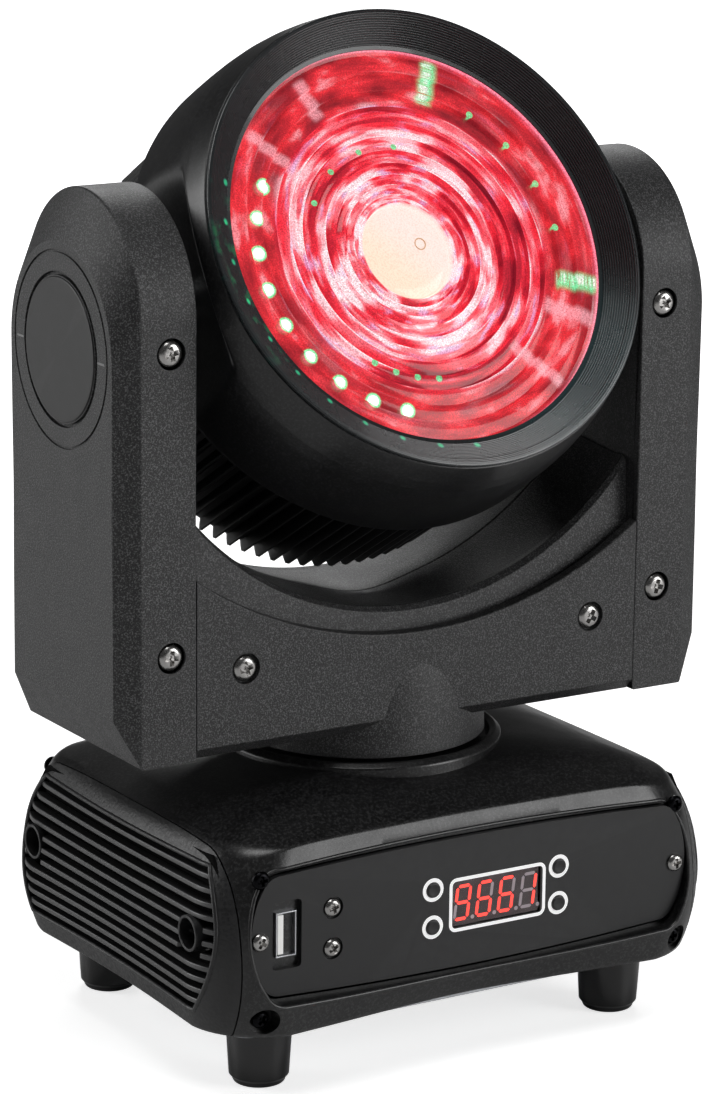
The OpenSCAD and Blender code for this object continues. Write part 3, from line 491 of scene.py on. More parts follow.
def ring_noise(k, a, layer, around, detail=2.0):
    """Noise that changes round the axis at a given rate, different for each layer value."""
    comb = k.add("ShaderNodeCombineXYZ")
    k.put(comb.inputs[0], k.math("MULTIPLY", k.math("COSINE", a), around))
    k.put(comb.inputs[1], k.math("MULTIPLY", k.math("SINE", a), around))
    k.put(comb.inputs[2], layer)
    node = k.add("ShaderNodeTexNoise", Scale=1.0, Detail=detail, Roughness=0.55)
    k.put(node.inputs["Vector"], comb.outputs[0])
    return node.outputs["Fac"]


def sector(k, r, a, centre, half, r0, r1):
    """A mask round one direction (degrees), a few mm wide, between two radii."""
    turn = k.math("SUBTRACT", a, math.radians(centre))
    chord = k.math("ABSOLUTE", k.math("SINE", k.math("MULTIPLY", turn, 0.5)))
    across = k.math("MULTIPLY", chord, k.math("MULTIPLY", r, 2.0))
    radial = k.math("MULTIPLY", step(k, r, r0 - 1, r0 + 1), step(k, r, r1 + 1, r1 - 1))
    return k.math("MULTIPLY", step(k, across, half, half * 0.3), radial)


def spots(k, x, y, places):
    """Soft round spots on the lens, each given as radius, direction in degrees and size."""
    total = None
    for r, deg, size in places:
        dx = k.math("SUBTRACT", x, r * math.cos(math.radians(deg)))
        dy = k.math("SUBTRACT", y, r * math.sin(math.radians(deg)))
        spot = step(k, length(k, dx, dy), size, size * 0.35)
        total = spot if total is None else k.math("ADD", total, spot)
    return total


LED_SPOTS = [(48.3 + 3.9 * math.sin(math.pi * i / 10.5), 153.4 + 12.2 * i, 2.9) for i in range(9)]
SIDE_SPOTS = [(49.0, 2 + 16.5 * i, 1.3) for i in range(4)]
SIDE_SPOTS += [(31.5, 83 + 22 * i, 1.15) for i in range(4)]
SIDE_SPOTS += [(39.5, 236 + 10 * i, 1.25) for i in range(4)]
RIM_SPOTS = [(61.6, 159 + 11.1 * i, 1.3) for i in range(11)]


# Beams across the lens: direction in degrees, half width, inner and outer radius
GREEN_BEAMS = ((69, 3.6, 46, 58.8), (343, 3.8, 47.5, 59.8))
PINK_BEAMS = ((-28, 3.4, 44, 59), (-52, 2.6, 40, 58), (140, 2.6, 42, 58), (115, 3.0, 45, 57))
CENTRE_R = 15.0


def lens_material():
    """The stepped lens, lit red from behind, with arcs of light in its facets."""
    k = Nodes("lens_glass")
    x, y, r, a = lens_pattern(k)
    over = k.math("MAXIMUM", k.math("SUBTRACT", r, FACET_R0), 0.0)
    root = k.math("SQRT", k.math("MULTIPLY_ADD", over, 4 * FACET_C, FACET_B ** 2))
    n = k.math("DIVIDE", k.math("SUBTRACT", root, FACET_B), 2 * FACET_C)
    index = k.math("FLOOR", n)
    phase = k.math("SUBTRACT", n, index)
    arcs = ring_noise(k, a, k.math("MULTIPLY", index, 1.9), 1.3)
    arcs2 = ring_noise(k, a, k.math("MULTIPLY", n, 1.5), 1.9, 2.0)
    fine = ring_noise(k, a, k.math("MULTIPLY", r, 1.7), 5.0, 3.0)
    inner = step(k, r, 52, 16)
    v = k.math("MULTIPLY", step(k, arcs, 0.40, 0.60), 0.36)
    v = k.math("ADD", v, k.math("MULTIPLY", step(k, arcs2, 0.40, 0.62), 0.30))
    v = k.math("ADD", v, k.math("MULTIPLY", k.math("SUBTRACT", 1.0, phase), 0.16))
    v = k.math("ADD", v, k.math("MULTIPLY", k.math("SUBTRACT", fine, 0.5), 0.26))
    v = k.math("ADD", v, k.math("MULTIPLY", inner, 0.24))
    edge = k.math("MULTIPLY", step(k, phase, 0.14, 0.0), step(k, arcs2, 0.40, 0.62))
    v = k.math("ADD", v, k.math("MULTIPLY", edge, 0.30))
    col = k.ramp(v, [(0.10, (0.10, 0.004, 0.012)), (0.28, (0.42, 0.010, 0.024)),
                     (0.44, (0.82, 0.025, 0.045)), (0.62, (0.92, 0.15, 0.19)),
                     (0.78, (1.0, 0.58, 0.64)), (0.90, (1.0, 0.93, 0.97))])
    lilac = ring_noise(k, a, k.math("MULTIPLY", r, 0.45), 3.4)
    lilac = k.math("MULTIPLY", step(k, lilac, 0.55, 0.70), 0.55)
    col = k.mix(k.math("MULTIPLY", lilac, step(k, v, 0.3, 0.6)), col, (0.55, 0.52, 0.95))
    patch = k.ramp(ring_noise(k, a, k.math("MULTIPLY", r, 0.16), 3.0, 3.0),
                   [(0.36, (0.09, 0.006, 0.010)), (0.46, (0.30, 0.014, 0.020)),
                    (0.57, (0.66, 0.030, 0.040)), (0.70, (0.85, 0.34, 0.38))])
    col = k.mix(k.math("MULTIPLY", step(k, r, 42.5, 45.5), 0.88), col, patch)
    for centre, half, r0, r1 in GREEN_BEAMS:
        beam = sector(k, r, a, centre, half, r0, r1)
        col = k.mix(k.math("MULTIPLY", beam, step(k, fine, 0.26, 0.44)), col, (0.06, 0.92, 0.40))
        core = sector(k, r, a, centre + 0.6, half * 0.6, r0, r1)
        col = k.mix(k.math("MULTIPLY", core, step(k, fine, 0.40, 0.56)), col, (0.80, 1.0, 0.90))
    for centre, half, r0, r1 in PINK_BEAMS:
        beam = k.math("MULTIPLY", sector(k, r, a, centre, half, r0, r1), 0.55)
        col = k.mix(beam, col, (0.95, 0.55, 0.62))
    cream = k.mix(step(k, k.math("ADD", x, y), -14, 10), (0.97, 0.90, 0.70), (1.0, 0.93, 0.85))
    col = k.mix(step(k, r, CENTRE_R, CENTRE_R - 0.8), col, cream)
    lit = spots(k, x, y, LED_SPOTS)
    dots = spots(k, x, y, SIDE_SPOTS)
    col = k.mix(step(k, k.math("ADD", lit, dots), 0.02, 0.40), col, (0.04, 0.82, 0.36))
    col = k.mix(step(k, lit, 0.45, 0.95), col, (0.90, 1.0, 0.94))
    col = k.mix(step(k, r, 59.0, 59.9), col, (1.0, 0.30, 0.42))
    spark = k.ramp(k.noise(0.42, 2, 0.75), [(0.36, shades(WHITE, 0.50)), (0.52, shades(WHITE, 0.92)),
                                            (0.68, shades(WHITE, 1.45))])
    frost = k.ramp(k.noise(0.5, 3), [(0.3, (0.86, 0.84, 0.80)), (0.6, WHITE)])
    spark = k.mix(step(k, r, 16.0, 13.5), spark, frost)
    col = k.mix(1.0, col, spark, "MULTIPLY")
    clear = step(k, r, 40, 49)
    k.set(Base_Color=k.mix(clear, (0.25, 0.02, 0.03), (0.30, 0.03, 0.04)), Roughness=0.10, IOR=1.33,
          Transmission_Weight=k.math("MULTIPLY_ADD", clear, 0.30, 0.12))
    k.set(Emission_Color=col, Emission_Strength=k.math("MULTIPLY_ADD", lit, 0.9, 0.93))
    k.bump((k.noise(1.4, 3), 0.02, 0.3))
    return k.mat


def bezel_material():
    """Dark bezel that catches a little of the green light from the lens."""
    k = Nodes("bezel_black")
    x, y, r, a = lens_pattern(k)
    patch = step(k, k.noise(5.0, 3), 0.50, 0.68)
    left = sector(k, r, a, 187, 42, 58, 69)
    low = sector(k, r, a, -50, 46, 58, 69)
    green = k.math("MULTIPLY", left, patch)
    col = k.mix(k.noise(14.0, 3), (0.012, 0.014, 0.015), (0.021, 0.024, 0.026))
    k.set(Base_Color=col, Roughness=k.math("MULTIPLY_ADD", k.noise(9.0, 3), 0.14, 0.20), Coat_Weight=0.3)
    glints = k.math("MULTIPLY", spots(k, x, y, RIM_SPOTS), 0.7)
    hue = k.mix(k.math("ADD", green, glints), (0.02, 0.20, 0.22), (0.02, 0.75, 0.26))
    sheen = k.math("ADD", k.math("MULTIPLY", green, 0.10), k.math("MULTIPLY", low, 0.06))
    k.set(Emission_Color=hue, Emission_Strength=k.math("ADD", glints, sheen))
    k.bump((k.noise(0.6, 3), 0.015, 0.3))
    return k.mat


def glow(name, inner, outer, r0, r1, power, speck=0.5):
    """A lit surface that runs from one colour to another across the radius."""
    k = Nodes(name)
    x, y, r, a = lens_pattern(k)
    t = k.math("DIVIDE", k.math("SUBTRACT", r, r0), r1 - r0)
    ramp = k.ramp(t, [(0, inner), (1, outer)])
    light = k.ramp(streaks(k, r, a, radial=0.3, around=4.0), [(0.45, BLACK), (0.75, WHITE)])
    col = k.mix(light, ramp, (1.0, 0.45, 0.50))
    grain = k.ramp(k.noise(0.9, 3, 0.7), [(0.35, shades(WHITE, speck)), (0.62, WHITE)])
    k.set(Base_Color=(0.7, 0.2, 0.2, 1), Roughness=0.35, Emission_Color=col,
          Emission_Strength=k.math("MULTIPLY", grain, power))
    k.bump((k.noise(1.0, 3), 0.05, 0.4))
    return k.mat


def pane_material():
    """The display's clear window."""
    k = Nodes("display_pane")
    k.set(Base_Color=(1, 0.96, 0.96, 1), Transmission_Weight=1.0, IOR=1.05)
    k.set(Roughness=k.math("MULTIPLY", k.noise(2.0), 0.04))
    k.bump((k.noise(5.0), 0.01, 0.2))
    return k.mat


M["pane"] = pane_material()
M["lens"] = lens_material()
M["bezel"] = bezel_material()
# Near-black and dull: painted shade for the vent floor and round and inside the USB socket, where there is
# only shadow
M["void"] = plastic("void_painted_shade_black", (0.0006, 0.0006, 0.0006), 0.85, 0.7, 0.02, 0.2, sheen=0.05)
# Slats glossier than the side cover and lighter in colour; the lighter colour is painted highlight on the
# slats
M["slat"] = plastic("slat_black", (0.018, 0.018, 0.0185), 0.34, 0.6, 0.04, 0.4, sheen=0.8)
M["badge"] = plastic("badge_black", (0.007, 0.007, 0.0073), 0.36, 0.7, 0.04, 0.35)
M["tick"] = plastic("tick_grey", (0.16, 0.16, 0.16), 0.4, 0.5, 0.02, 0.3)
M["brass"] = metal("brass_contact", (0.80, 0.58, 0.25), 0.3, 0.5)
M["glow_bowl"] = glow("bowl_glow", (1.0, 0.35, 0.32), (0.55, 0.02, 0.04), 12, 42, 0.6)
M["glow_board"] = glow("board_glow", (0.42, 0.015, 0.03), (0.22, 0.008, 0.02), 43, 60, 0.5)
M["led_strong"] = printed("led_bright", (0.30, 0.36, 0.32), (0.10, 0.80, 0.40), 0.25)
M["led_faint"] = printed("led_dim", (0.10, 0.24, 0.14), (0.10, 0.85, 0.30), 0.12)
# LEDs that are off glow red: painted red light from the lamp around them
M["led_off_painted_red_glow"] = printed("led_off_painted_red_glow", (0.5, 0.06, 0.08), (0.55, 0.03, 0.05), 0.4)
M["gate"] = printed("gate_mark", (0.55, 0.35, 0.22), (0.75, 0.45, 0.25), 0.35)
M["lamp_glow"] = printed("lamp_cream", (0.95, 0.9, 0.8), (1.0, 0.82, 0.62), 1.0)

# ---------------------------------------------------------------------- base

side_lo, side_hi = span("right_side_cover")
shell_lo, shell_hi = span("base_shell")
HALF_W, HALF_D = side_hi.x, -shell_lo.y
LOW_Z = side_lo.z
TOP_Z = shell_hi.z + 0.5
SEAM_X = side_lo.x
ring_hi = span("neck_ring")[1]
RING_R, RING_TOP = ring_hi.x, ring_hi.z
panel_lo, panel_hi = span("control_panel")
MID_Z = (panel_lo.z + panel_hi.z) / 2
FACE_Y, FLOOR_Y = panel_lo.y, panel_hi.y


def dome(x, y):
    """Height of the base's top."""
    p = abs(x / 77.7) ** 3.4 * 9.8
    q = abs(y / 62.0) ** 3.4 * 10.6
    return TOP_Z + 0.4 - (p ** 2.4 + q ** 2.4) ** (1 / 2.4)


def wall(z):
    """Half width, half depth and corner radius of the base's wall at a height."""
    dx, dy = z - 47, z - 46
    a = HALF_W - 0.15 - dx * dx / (120 if z > 47 else 190)
    b = HALF_D - 0.15 - dy * dy / (96 if z > 46 else 104)
    r = 13 + 8 * min(1, max(0, (z - 20) / 30))
    return a, b, r


def plan(a, b, r, nx=56, ny=30, nc=14):
    """A rounded rectangle with the same number of points whatever its size."""
    out = []
    for cx, cy, a0, n in ((1, 1, 0, nx), (-1, 1, 90, ny), (-1, -1, 180, nx), (1, -1, 270, ny)):
        for k in range(nc):
            t = math.radians(a0 + 90 * k / nc)
            out.append((cx * (a - r) + r * math.cos(t), cy * (b - r) + r * math.sin(t)))
        t = math.radians(a0 + 90)
        start = (cx * (a - r) + r * math.cos(t), cy * (b - r) + r * math.sin(t))
        if a0 in (0, 180):
            end = (-start[0], start[1])
        else:
            end = (start[0], -start[1])
        out.extend((start[0] + (end[0] - start[0]) * k / n, start[1] + (end[1] - start[1]) * k / n)
                   for k in range(n))
    return out


def base_body():
    """The whole base as one skin: its wall at several heights, its edge and its domed top."""
    heights = [LOW_Z, 24, 28, 32, 36, 40, 44, 48, 52, 56, 59, 62, 64, 66]
    outlines = {z: plan(*wall(z)) for z in heights}
    nominal = plan(*wall(48))
    columns = []
    for i, p0 in enumerate(nominal):
        a = math.atan2(p0[1], p0[0])
        inner = Vector((math.cos(a), math.sin(a))) * (RING_R - 0.6)
        out = (Vector(p0) - inner).normalized()

        def reach(z):
            return (Vector(plan_at(z, i)) - inner).dot(out)

        z = 74.0
        for _ in range(5):
            p = inner + out * reach(z)
            z = dome(p.x, p.y)
        side = min(1.0, max(0.0, (abs(p0[0]) - 66) / 14))
        side = side * side * (3 - 2 * side)
        points = [(reach(LOW_Z) - 7, LOW_Z), (reach(LOW_Z), LOW_Z, 2.6)]
        points += [((Vector(outlines[h][i]) - inner).dot(out), h) for h in heights[1:]]
        edge = reach(z)
        points.append((edge, z, 2.0 + 6.5 * side))
        for k in range(1, 15):
            h = (edge - 9) * (1 - k / 14)
            p = inner + out * h
            points.append((h, dome(p.x, p.y)))
        line = rounded(points, steps=6)
        columns.append([(inner.x + out.x * h, inner.y + out.y * h, z) for h, z in line])
    rows = [[c[k] for c in columns] for k in range(len(columns[0]))]
    return skin(rows, caps=True)


_plans = {}


def plan_at(z, i):
    """Point i of the base's wall at a height."""
    key = round(z, 3)
    if key not in _plans:
        _plans[key] = plan(*wall(z))
    return _plans[key][i]


def recess(gap=0.0, half_w=75.0, end_r=32.0, corner=7.5):
    """The outline of the panel's recess in X and Z: gently arched, with bowed ends and soft corners."""
    half_h = 20.9 - gap
    cx = half_w - end_r
    r = end_r - gap
    drop = 1.9
    a = math.asin((half_h - drop) / r)
    x_end = cx + r * math.cos(a)
    along = [0.72 - 1.44 * k / 24 for k in range(25)]
    arch = [(x_end * u, MID_Z + half_h - drop * u * u) for u in along]
    turns = [a * (0.62 - 1.24 * k / 12) for k in range(13)]
    arc = [(-cx - r * math.cos(t), MID_Z + r * math.sin(t)) for t in turns]
    tip = (x_end, MID_Z + half_h - drop)
    points = arch + [(-tip[0], tip[1], corner)] + arc + [(-tip[0], 2 * MID_Z - tip[1], corner)]
    points += [(-p[0], 2 * MID_Z - p[1]) for p in arch]
    points += [(tip[0], 2 * MID_Z - tip[1], corner)] + [(-p[0], 2 * MID_Z - p[1]) for p in arc]
    points.append((tip[0], tip[1], corner))
    return rounded(points, closed=True, steps=8)


def along_y(outline, y0, y1):
    """A solid from an outline in X and Z."""
    return prism(outline, y0, y1, lambda u, v, w: (u, w, v))


def tree_of(o):
    """A search tree of an object's surface, in mm."""
    bm = bmesh.new()
    bm.from_mesh(o.data)
    bm.transform(Matrix.Scale(1 / MM, 4))
    tree = BVHTree.FromBMesh(bm)
    bm.free()
    return tree


def front_y(x, z):
    """Where the base's front lies."""
    return skin_tree.ray_cast(Vector((x, -200, z)), Vector((0, 1, 0)))[0].y


def side_x(y, z):
    """Where the base's right side lies."""
    return skin_tree.ray_cast(Vector((200, y, z)), Vector((-1, 0, 0)))[0].x


VENT_LOW, VENT_HIGH = 26.9, 68.3
VENT_MID, VENT_HALF = 47.6, 20.7
WELL_FLOOR = 79.2
SLATS = 11


def vent_bow(z):
    """How far the vents' area draws in at a height."""
    t = (z - VENT_MID) / VENT_HALF
    return 8.5 * t * t


def vent_outline(grow=0.0, n=18):
    """Outline of the vents' area in Y and Z: bowed ends, straight top and bottom."""
    lo, hi = VENT_LOW - grow, VENT_HIGH + grow
    half = 58 + grow
    heights = [hi + (lo - hi) * k / n for k in range(n + 1)]
    pts = [(-half + vent_bow(z), z) for z in heights]
    heights = [lo + (hi - lo) * k / n for k in range(n + 1)]
    return pts + [(half - vent_bow(z), z) for z in heights]


def dense(points, pitch):
    """A closed line's points, with more put in between so that none are far apart."""
    out = []
    for i, p in enumerate(points):
        q = points[(i + 1) % len(points)]
        d = math.dist(p, q)
        n = max(1, round(d / pitch))
        out.extend(tuple(a + (b - a) * k / n for a, b in zip(p, q)) for k in range(n))
    return out


frame_screws = [(sx * 70.8, MID_Z - 2.8 + sz * 20.4) for sx in (-1, 1) for sz in (-1, 1)]
SIDE_SCREW_Y = 47.5

body = raw("base_body", base_body())
skin_tree = tree_of(body)

tools = []
for s in (1, -1):
    y0, y1 = (-90, FLOOR_Y) if s > 0 else (-FLOOR_Y - 2.5, 90)
    tools.append(raw("t", along_y(recess(), y0, y1)))
    for x, z in frame_screws:
        tools.append(raw("t", moved(rod(4.0, 0, 30), turned("X", 90 * s, (x, -s * 62.3, z)))))
carve(body, tools)


def portion(source, name, x0, x1, lip=1.6):
    """The part of a shell between two X planes, its cut edges turned inwards."""
    me = source.data.copy()
    bm = bmesh.new()
    bm.from_mesh(me)
    for x, normal in ((x0, -1), (x1, 1)):
        if abs(x) > 150:
            continue
        bmesh.ops.bisect_plane(bm, geom=bm.verts[:] + bm.edges[:] + bm.faces[:], plane_co=(x * MM, 0, 0),
                               plane_no=(normal, 0, 0), clear_outer=True)
        rim = [e for e in bm.edges if e.is_boundary and all(abs(v.co.x - x * MM) < 1e-6 for v in e.verts)]
        made = bmesh.ops.extrude_edge_only(bm, edges=rim)["geom"]
        centre = Vector((0, 0, 48 * MM))
        for v in (g for g in made if isinstance(g, bmesh.types.BMVert)):
            inward = centre - v.co
            inward.x = 0
            v.co += inward.normalized() * lip * MM - Vector((normal * 0.35 * MM, 0, 0))
    bm.to_mesh(me)
    bm.free()
    o = bpy.data.objects.new(name, me)
    bpy.context.scene.collection.objects.link(o)
    return o


GAP = 0.16
shell = portion(body, "base_shell_skin", -SEAM_X + GAP, SEAM_X - GAP)
piece("base_shell_skin", shell, "base", M["base"], ["base_shell"], sharp=32)

# Rim beads round the two recesses, on the shell's surface
for s, name in ((1, "front_recess_rim"), (-1, "rear_recess_rim")):
    path = []
    for x, z in dense(recess(-0.25), 1.5):
        y = front_y(x, z)
        path.append((x, s * (y + 0.35), z))
    piece(name, sweep(path, circle(0.62, 10), up=Vector((0, 1, 0))), "base", M["base"])

# Side covers with louvre slats
for s, side in ((1, "right"), (-1, "left")):
    flip = Matrix.Scale(s, 4, (1, 0, 0))
    cover = portion(body, f"{side}_cover_skin", SEAM_X + GAP, 200)
    cut = raw("t", prism(vent_outline(), 79.0, 95, lambda u, v, w: (w, u, v)))
    vent_shade_floor = prism(vent_outline(3.0), 78.2, WELL_FLOOR, lambda u, v, w: (w, u, v))
    # The cover is an open shell, so its vent area is cut away and floored separately, the floor near-black as
    # painted shade behind the slats
    carve(cover, [cut], open_shell=True)
    cover.data.transform(flip)
    if s < 0:
        cover.data.flip_normals()
    piece(f"{side}_cover_skin", cover, "base", M["side"], [f"{side}_side_cover"], sharp=32)
    piece(f"{side}_vent_floor", moved(vent_shade_floor, flip), "base", M["void"])
    path = [(side_x(y, z) - 0.25, y, z) for y, z in dense(vent_outline(0.2), 1.6)]
    rim = sweep(path, circle(0.75, 10), up=Vector((1, 0, 0)))
    piece(f"{side}_vent_rim", moved(rim, flip), "base", M["side"])
    slats = []
    pitch = (VENT_HIGH - VENT_LOW) / (SLATS + 0.5)
    for i in range(SLATS):
        z = VENT_LOW + pitch * (i + 0.75)
        half = 57.6 - vent_bow(z)
        rows = []
        n = 60
        for k in range(n + 1):
            y = -half + 2 * half * k / n
            x = side_x(y, z) - 0.35
            if any(abs(y - q * SIDE_SCREW_Y) < 5 and abs(z - MID_Z) < 5 for q in (-1, 1)):
                x = min(x, 80.2)
            section = rounded([(x, z - 0.75, 0.35), (x - 0.2, z + 0.85, 0.35), (x - 3.2, z + 0.55, 0.2),
                               (x - 3.2, z - 0.45, 0.2)], closed=True, steps=3)
            rows.append([(u, y, v) for u, v in section])
        slats.append(skin(rows, caps=True))
    piece(f"{side}_vent_slats", moved(join(*slats), flip), "base", M["slat"])
    rings = []
    for q in (-1, 1):
        x = side_x(q * SIDE_SCREW_Y, MID_Z)
        h = x - WELL_FLOOR
        tube = rounded([(4.35, 0), (4.35, h, 0.3), (5.3, h, 0.3), (5.3, 0)], steps=4)
        rings.append(moved(lathe(tube, 56), turned("Y", 90, (WELL_FLOOR, q * SIDE_SCREW_Y, MID_Z))))
        rings.append(moved(rod(4.4, 0, 0.4), turned("Y", 90, (79.0, q * SIDE_SCREW_Y, MID_Z))))
    piece(f"{side}_screw_wells", moved(join(*rings), flip), "base", M["side"])
bpy.data.objects.remove(body)

# Neck ring: a rounded bead with a skirt down to the dome
ring = rounded([(RING_R - 3.8, RING_TOP - 7), (RING_R - 3.6, RING_TOP - 0.7, 0.5),
                (RING_R - 1.9, RING_TOP, 1.0), (RING_R, RING_TOP - 1.6, 1.2),
                (RING_R + 0.05, RING_TOP - 6.5)], steps=6)
piece("neck_ring_skin", lathe(ring, 128), "base", M["base"], ["neck_ring"])

# Feet, each with a pocket for the screw that holds it
foot_top = span("rubber_feet")[1]
FOOT_X, FOOT_Y = foot_top.x - 9.7, foot_top.y - 9.7
FOOT_PLACES = [(sx * FOOT_X, sy * FOOT_Y) for sx in (-1, 1) for sy in (-1, 1)]
POCKET_R, POCKET_TOP = 4.2, 7.2
profile = rounded([(0, POCKET_TOP), (POCKET_R, POCKET_TOP), (POCKET_R, 0), (7.3, 0, 0.9), (8.0, 1.6, 0.5),
                   (8.7, 2.4, 0.4), (9.65, foot_top.z), (0, foot_top.z)], steps=4)
feet = [moved(lathe(profile, 64), Matrix.Translation((x, y, 0))) for x, y in FOOT_PLACES]
piece("feet_moulded", join(*feet), "base", M["feet"], ["rubber_feet"])


# --------------------------------------------------------------------- screws

def screw_head(r, h, cross):
    """A pan head with a cross recess, its seat at z = 0."""
    pan = rounded([(r, 0), (r, h * 0.45, h * 0.35), (r * 0.72, h * 0.92, r * 0.6), (0, h)], steps=7)
    head = raw("t", lathe([(0, -1.2), (r * 0.5, -1.2), (r * 0.5, 0)] + pan, 56))
    bits = []
    for deg in (0, 90):
        w = r * 0.19
        taper = [(-cross, h + 0.3), (cross, h + 0.3), (cross * 0.5, h - 1.35), (-cross * 0.5, h - 1.35)]
        bits.append(raw("t", moved(along_y(taper, -w, w), turned("Z", deg))))
    core = raw("t", lathe([(0, h + 0.3), (r * 0.3, h + 0.3), (r * 0.12, h - 1.7), (0, h - 1.7)], 16))
    carve(head, bits + [core])
    verts = [tuple(v.co / MM) for v in head.data.vertices]
    faces = [tuple(p.vertices) for p in head.data.polygons]
    bpy.data.objects.remove(head)
    return verts, faces


def scatter(part, places):
    """Copies of a part, each turned a little differently."""
    return join(*[moved(part, m @ turned("Z", random.uniform(0, 90))) for m in places])


M4 = screw_head(3.8, 2.2, 2.5)
M3 = screw_head(2.7, 1.7, 1.8)

FRONT = Matrix.Rotation(math.radians(90), 4, "X")


def facing(x, y, z, turn=0):
    """Places a part so that its Z points out of the front, or out of the back when turn is 180."""
    return turned("Z", turn) @ Matrix.Translation((x, y, z)) @ FRONT


places = [facing(-47.8, FACE_Y + 0.9, MID_Z + q * 6) for q in (-1, 1)]
places += [facing(x, FACE_Y + 0.2, MID_Z - 0.1) for x in (-71.6, 70.6)]
piece("panel_screw_heads", scatter(M3, places), "base", M["nickel"], ["panel_screws"])
places = [facing(x, -62.6, z, t) for x, z in frame_screws for t in (0, 180)]
under = [Matrix.Translation((x, y, POCKET_TOP)) @ turned("X", 180) for x, y in FOOT_PLACES]
piece("frame_screw_heads", scatter(M3, places + under), "base", M["oxide"],
      ["frame_screws"])
places = [Matrix.Scale(q, 4, (1, 0, 0)) @ turned("Y", 90, (79.4, w * SIDE_SCREW_Y, MID_Z))
          for q in (-1, 1) for w in (-1, 1)]
piece("side_screw_heads", scatter(M4, places), "base", M["oxide"], ["side_cover_screws"])


# ------------------------------------------------------------ control panels

def plate_outline():
    """The panel plate in X and Z: it all but fills the recess, with a wider gap below it than above."""
    return [(u, v + 0.5) for u, v in recess(1.5, half_w=75.8)]


GROUP_X = 7.25
KEYS = {"menu": (-21.7, 5.6), "enter": (-21.7, -5.6), "up": (21.7, 5.6), "down": (21.7, -5.6)}
USB_X, USB_Z = -62.8, 49.6
PANEL_SCREWS = [(-47.8, MID_Z + q * 6) for q in (-1, 1)]
KEY_PLACES = {key: (GROUP_X + x, FACE_Y, MID_Z + z) for key, (x, z) in KEYS.items()}
DEEP = FACE_Y - 2, FACE_Y + 9


def box_part(x0, x1, y0, y1, z0, z1):
    return prism([(x0, y0), (x1, y0), (x1, y1), (x0, y1)], z0, z1)


def display_box(half_w, half_h, y0, y1):
    """A box round the middle of the display, its depths measured from the panel's face."""
    return raw("t", box_part(GROUP_X - half_w, GROUP_X + half_w, FACE_Y + y0, FACE_Y + y1,
                             MID_Z - half_h, MID_Z + half_h))


def usb_part(x0, x1, y0, y1, half, z=0.0):
    """A box measured from the USB socket's middle and the panel's face."""
    return box_part(USB_X + x0, USB_X + x1, FACE_Y + y0, FACE_Y + y1, USB_Z + z - half, USB_Z + z + half)


def usb_box(*sizes):
    return raw("t", usb_part(*sizes))


plate = raw("t", along_y(plate_outline(), FACE_Y, FLOOR_Y + 0.4))
tools = [raw("t", along_y(soft_box(USB_X, USB_Z, 4.7, 10, 1.2), *DEEP)), display_box(15.4, 7.1, -2, 9)]
tools += [raw("t", moved(rod(2.32, -4, 6), facing(*at))) for at in KEY_PLACES.values()]
well = lathe([(0, -1.0), (3.2, -1.0), (3.5, 3), (0, 3)], 40)
tools += [raw("t", moved(well, facing(x, FACE_Y, z))) for x, z in PANEL_SCREWS]
carve(plate, tools)
piece("control_panel_plate", plate, "base", M["panel"], ["control_panel"], bevel=0.35)
recess_floor = raw("t", along_y(recess(0.6), FLOOR_Y, FLOOR_Y + 0.8))
carve(recess_floor, [raw("t", box_part(-67.5, 67.5, FLOOR_Y - 2, FLOOR_Y + 4, MID_Z - 16, MID_Z + 16))])
piece("recess_floor", recess_floor, "base", M["base"])


def frame_ring(cx, cz, w, h, r, line):
    """A printed frame, a little proud of the panel."""
    outer = soft_box(cx, cz, w, h, r)
    inner = soft_box(cx, cz, w - line, h - line, r - line)
    y0, y1 = FACE_Y - 0.06, FACE_Y + 0.1
    loops = ((outer, y1), (outer, y0), (inner, y0), (inner, y1))
    return skin([[(u, y, v) for u, v in outline] for outline, y in loops], loop=True)


prints = [frame_ring(GROUP_X + 0.5, MID_Z - 0.3, 16.6, 8.1, 2.3, 1.0)]
ring = [(2.36, -0.1), (2.36, 0.06), (3.5, 0.06), (3.5, -0.1)]
prints += [moved(lathe(ring, 48, closed=True), facing(*at)) for at in KEY_PLACES.values()]
piece("panel_prints", join(*prints), "base", M["white"])

# The display: a greyish face with four seven-segment digits behind a clear window
piece("display_face", display_box(15.05, 7, 0.5, 7), "base", M["window"],
      ["display_module"], bevel=0.3)
SEGMENTS = {"a": (0, 1, 1), "g": (0, 0, 1), "d": (0, -1, 1), "b": (1, 0.5, 0), "c": (1, -0.5, 0),
            "f": (-1, 0.5, 0), "e": (-1, -0.5, 0)}
NUMBERS = ("abcdfg", "acdefg", "acdefg", "bc")
DIGIT_W, DIGIT_H, DIGIT_PITCH, SEG = 2.2, 4.9, 7.53, 0.47
DIGIT_Y = FACE_Y + 0.42, FACE_Y + 0.6
lit, unlit = [], []
for i, on in enumerate(NUMBERS):
    cx = GROUP_X + DIGIT_PITCH * (i - 1.5)
    for key, (u, v, flat) in SEGMENTS.items():
        half = (DIGIT_W if flat else DIGIT_H / 2) - 0.28
        shape = [(-half, 0), (-half + SEG, SEG), (half - SEG, SEG),
                 (half, 0), (half - SEG, -SEG), (-half + SEG, -SEG)]
        if not flat:
            shape = [(b, a) for a, b in shape]
        pts = []
        for a, b in shape:
            zz = b + v * DIGIT_H
            pts.append((cx + a + u * DIGIT_W + 0.12 * zz, MID_Z + zz))
        (lit if key in on else unlit).append(along_y(pts, *DIGIT_Y))
    dot = [(cx + 3.5 + 0.62 * a, MID_Z - DIGIT_H + 0.62 * b) for a, b in circle(1, 12)]
    unlit.append(along_y(dot, *DIGIT_Y))
piece("digits_lit", join(*lit), "base", M["lit"])
piece("digits_unlit", join(*unlit), "base", M["unlit"])
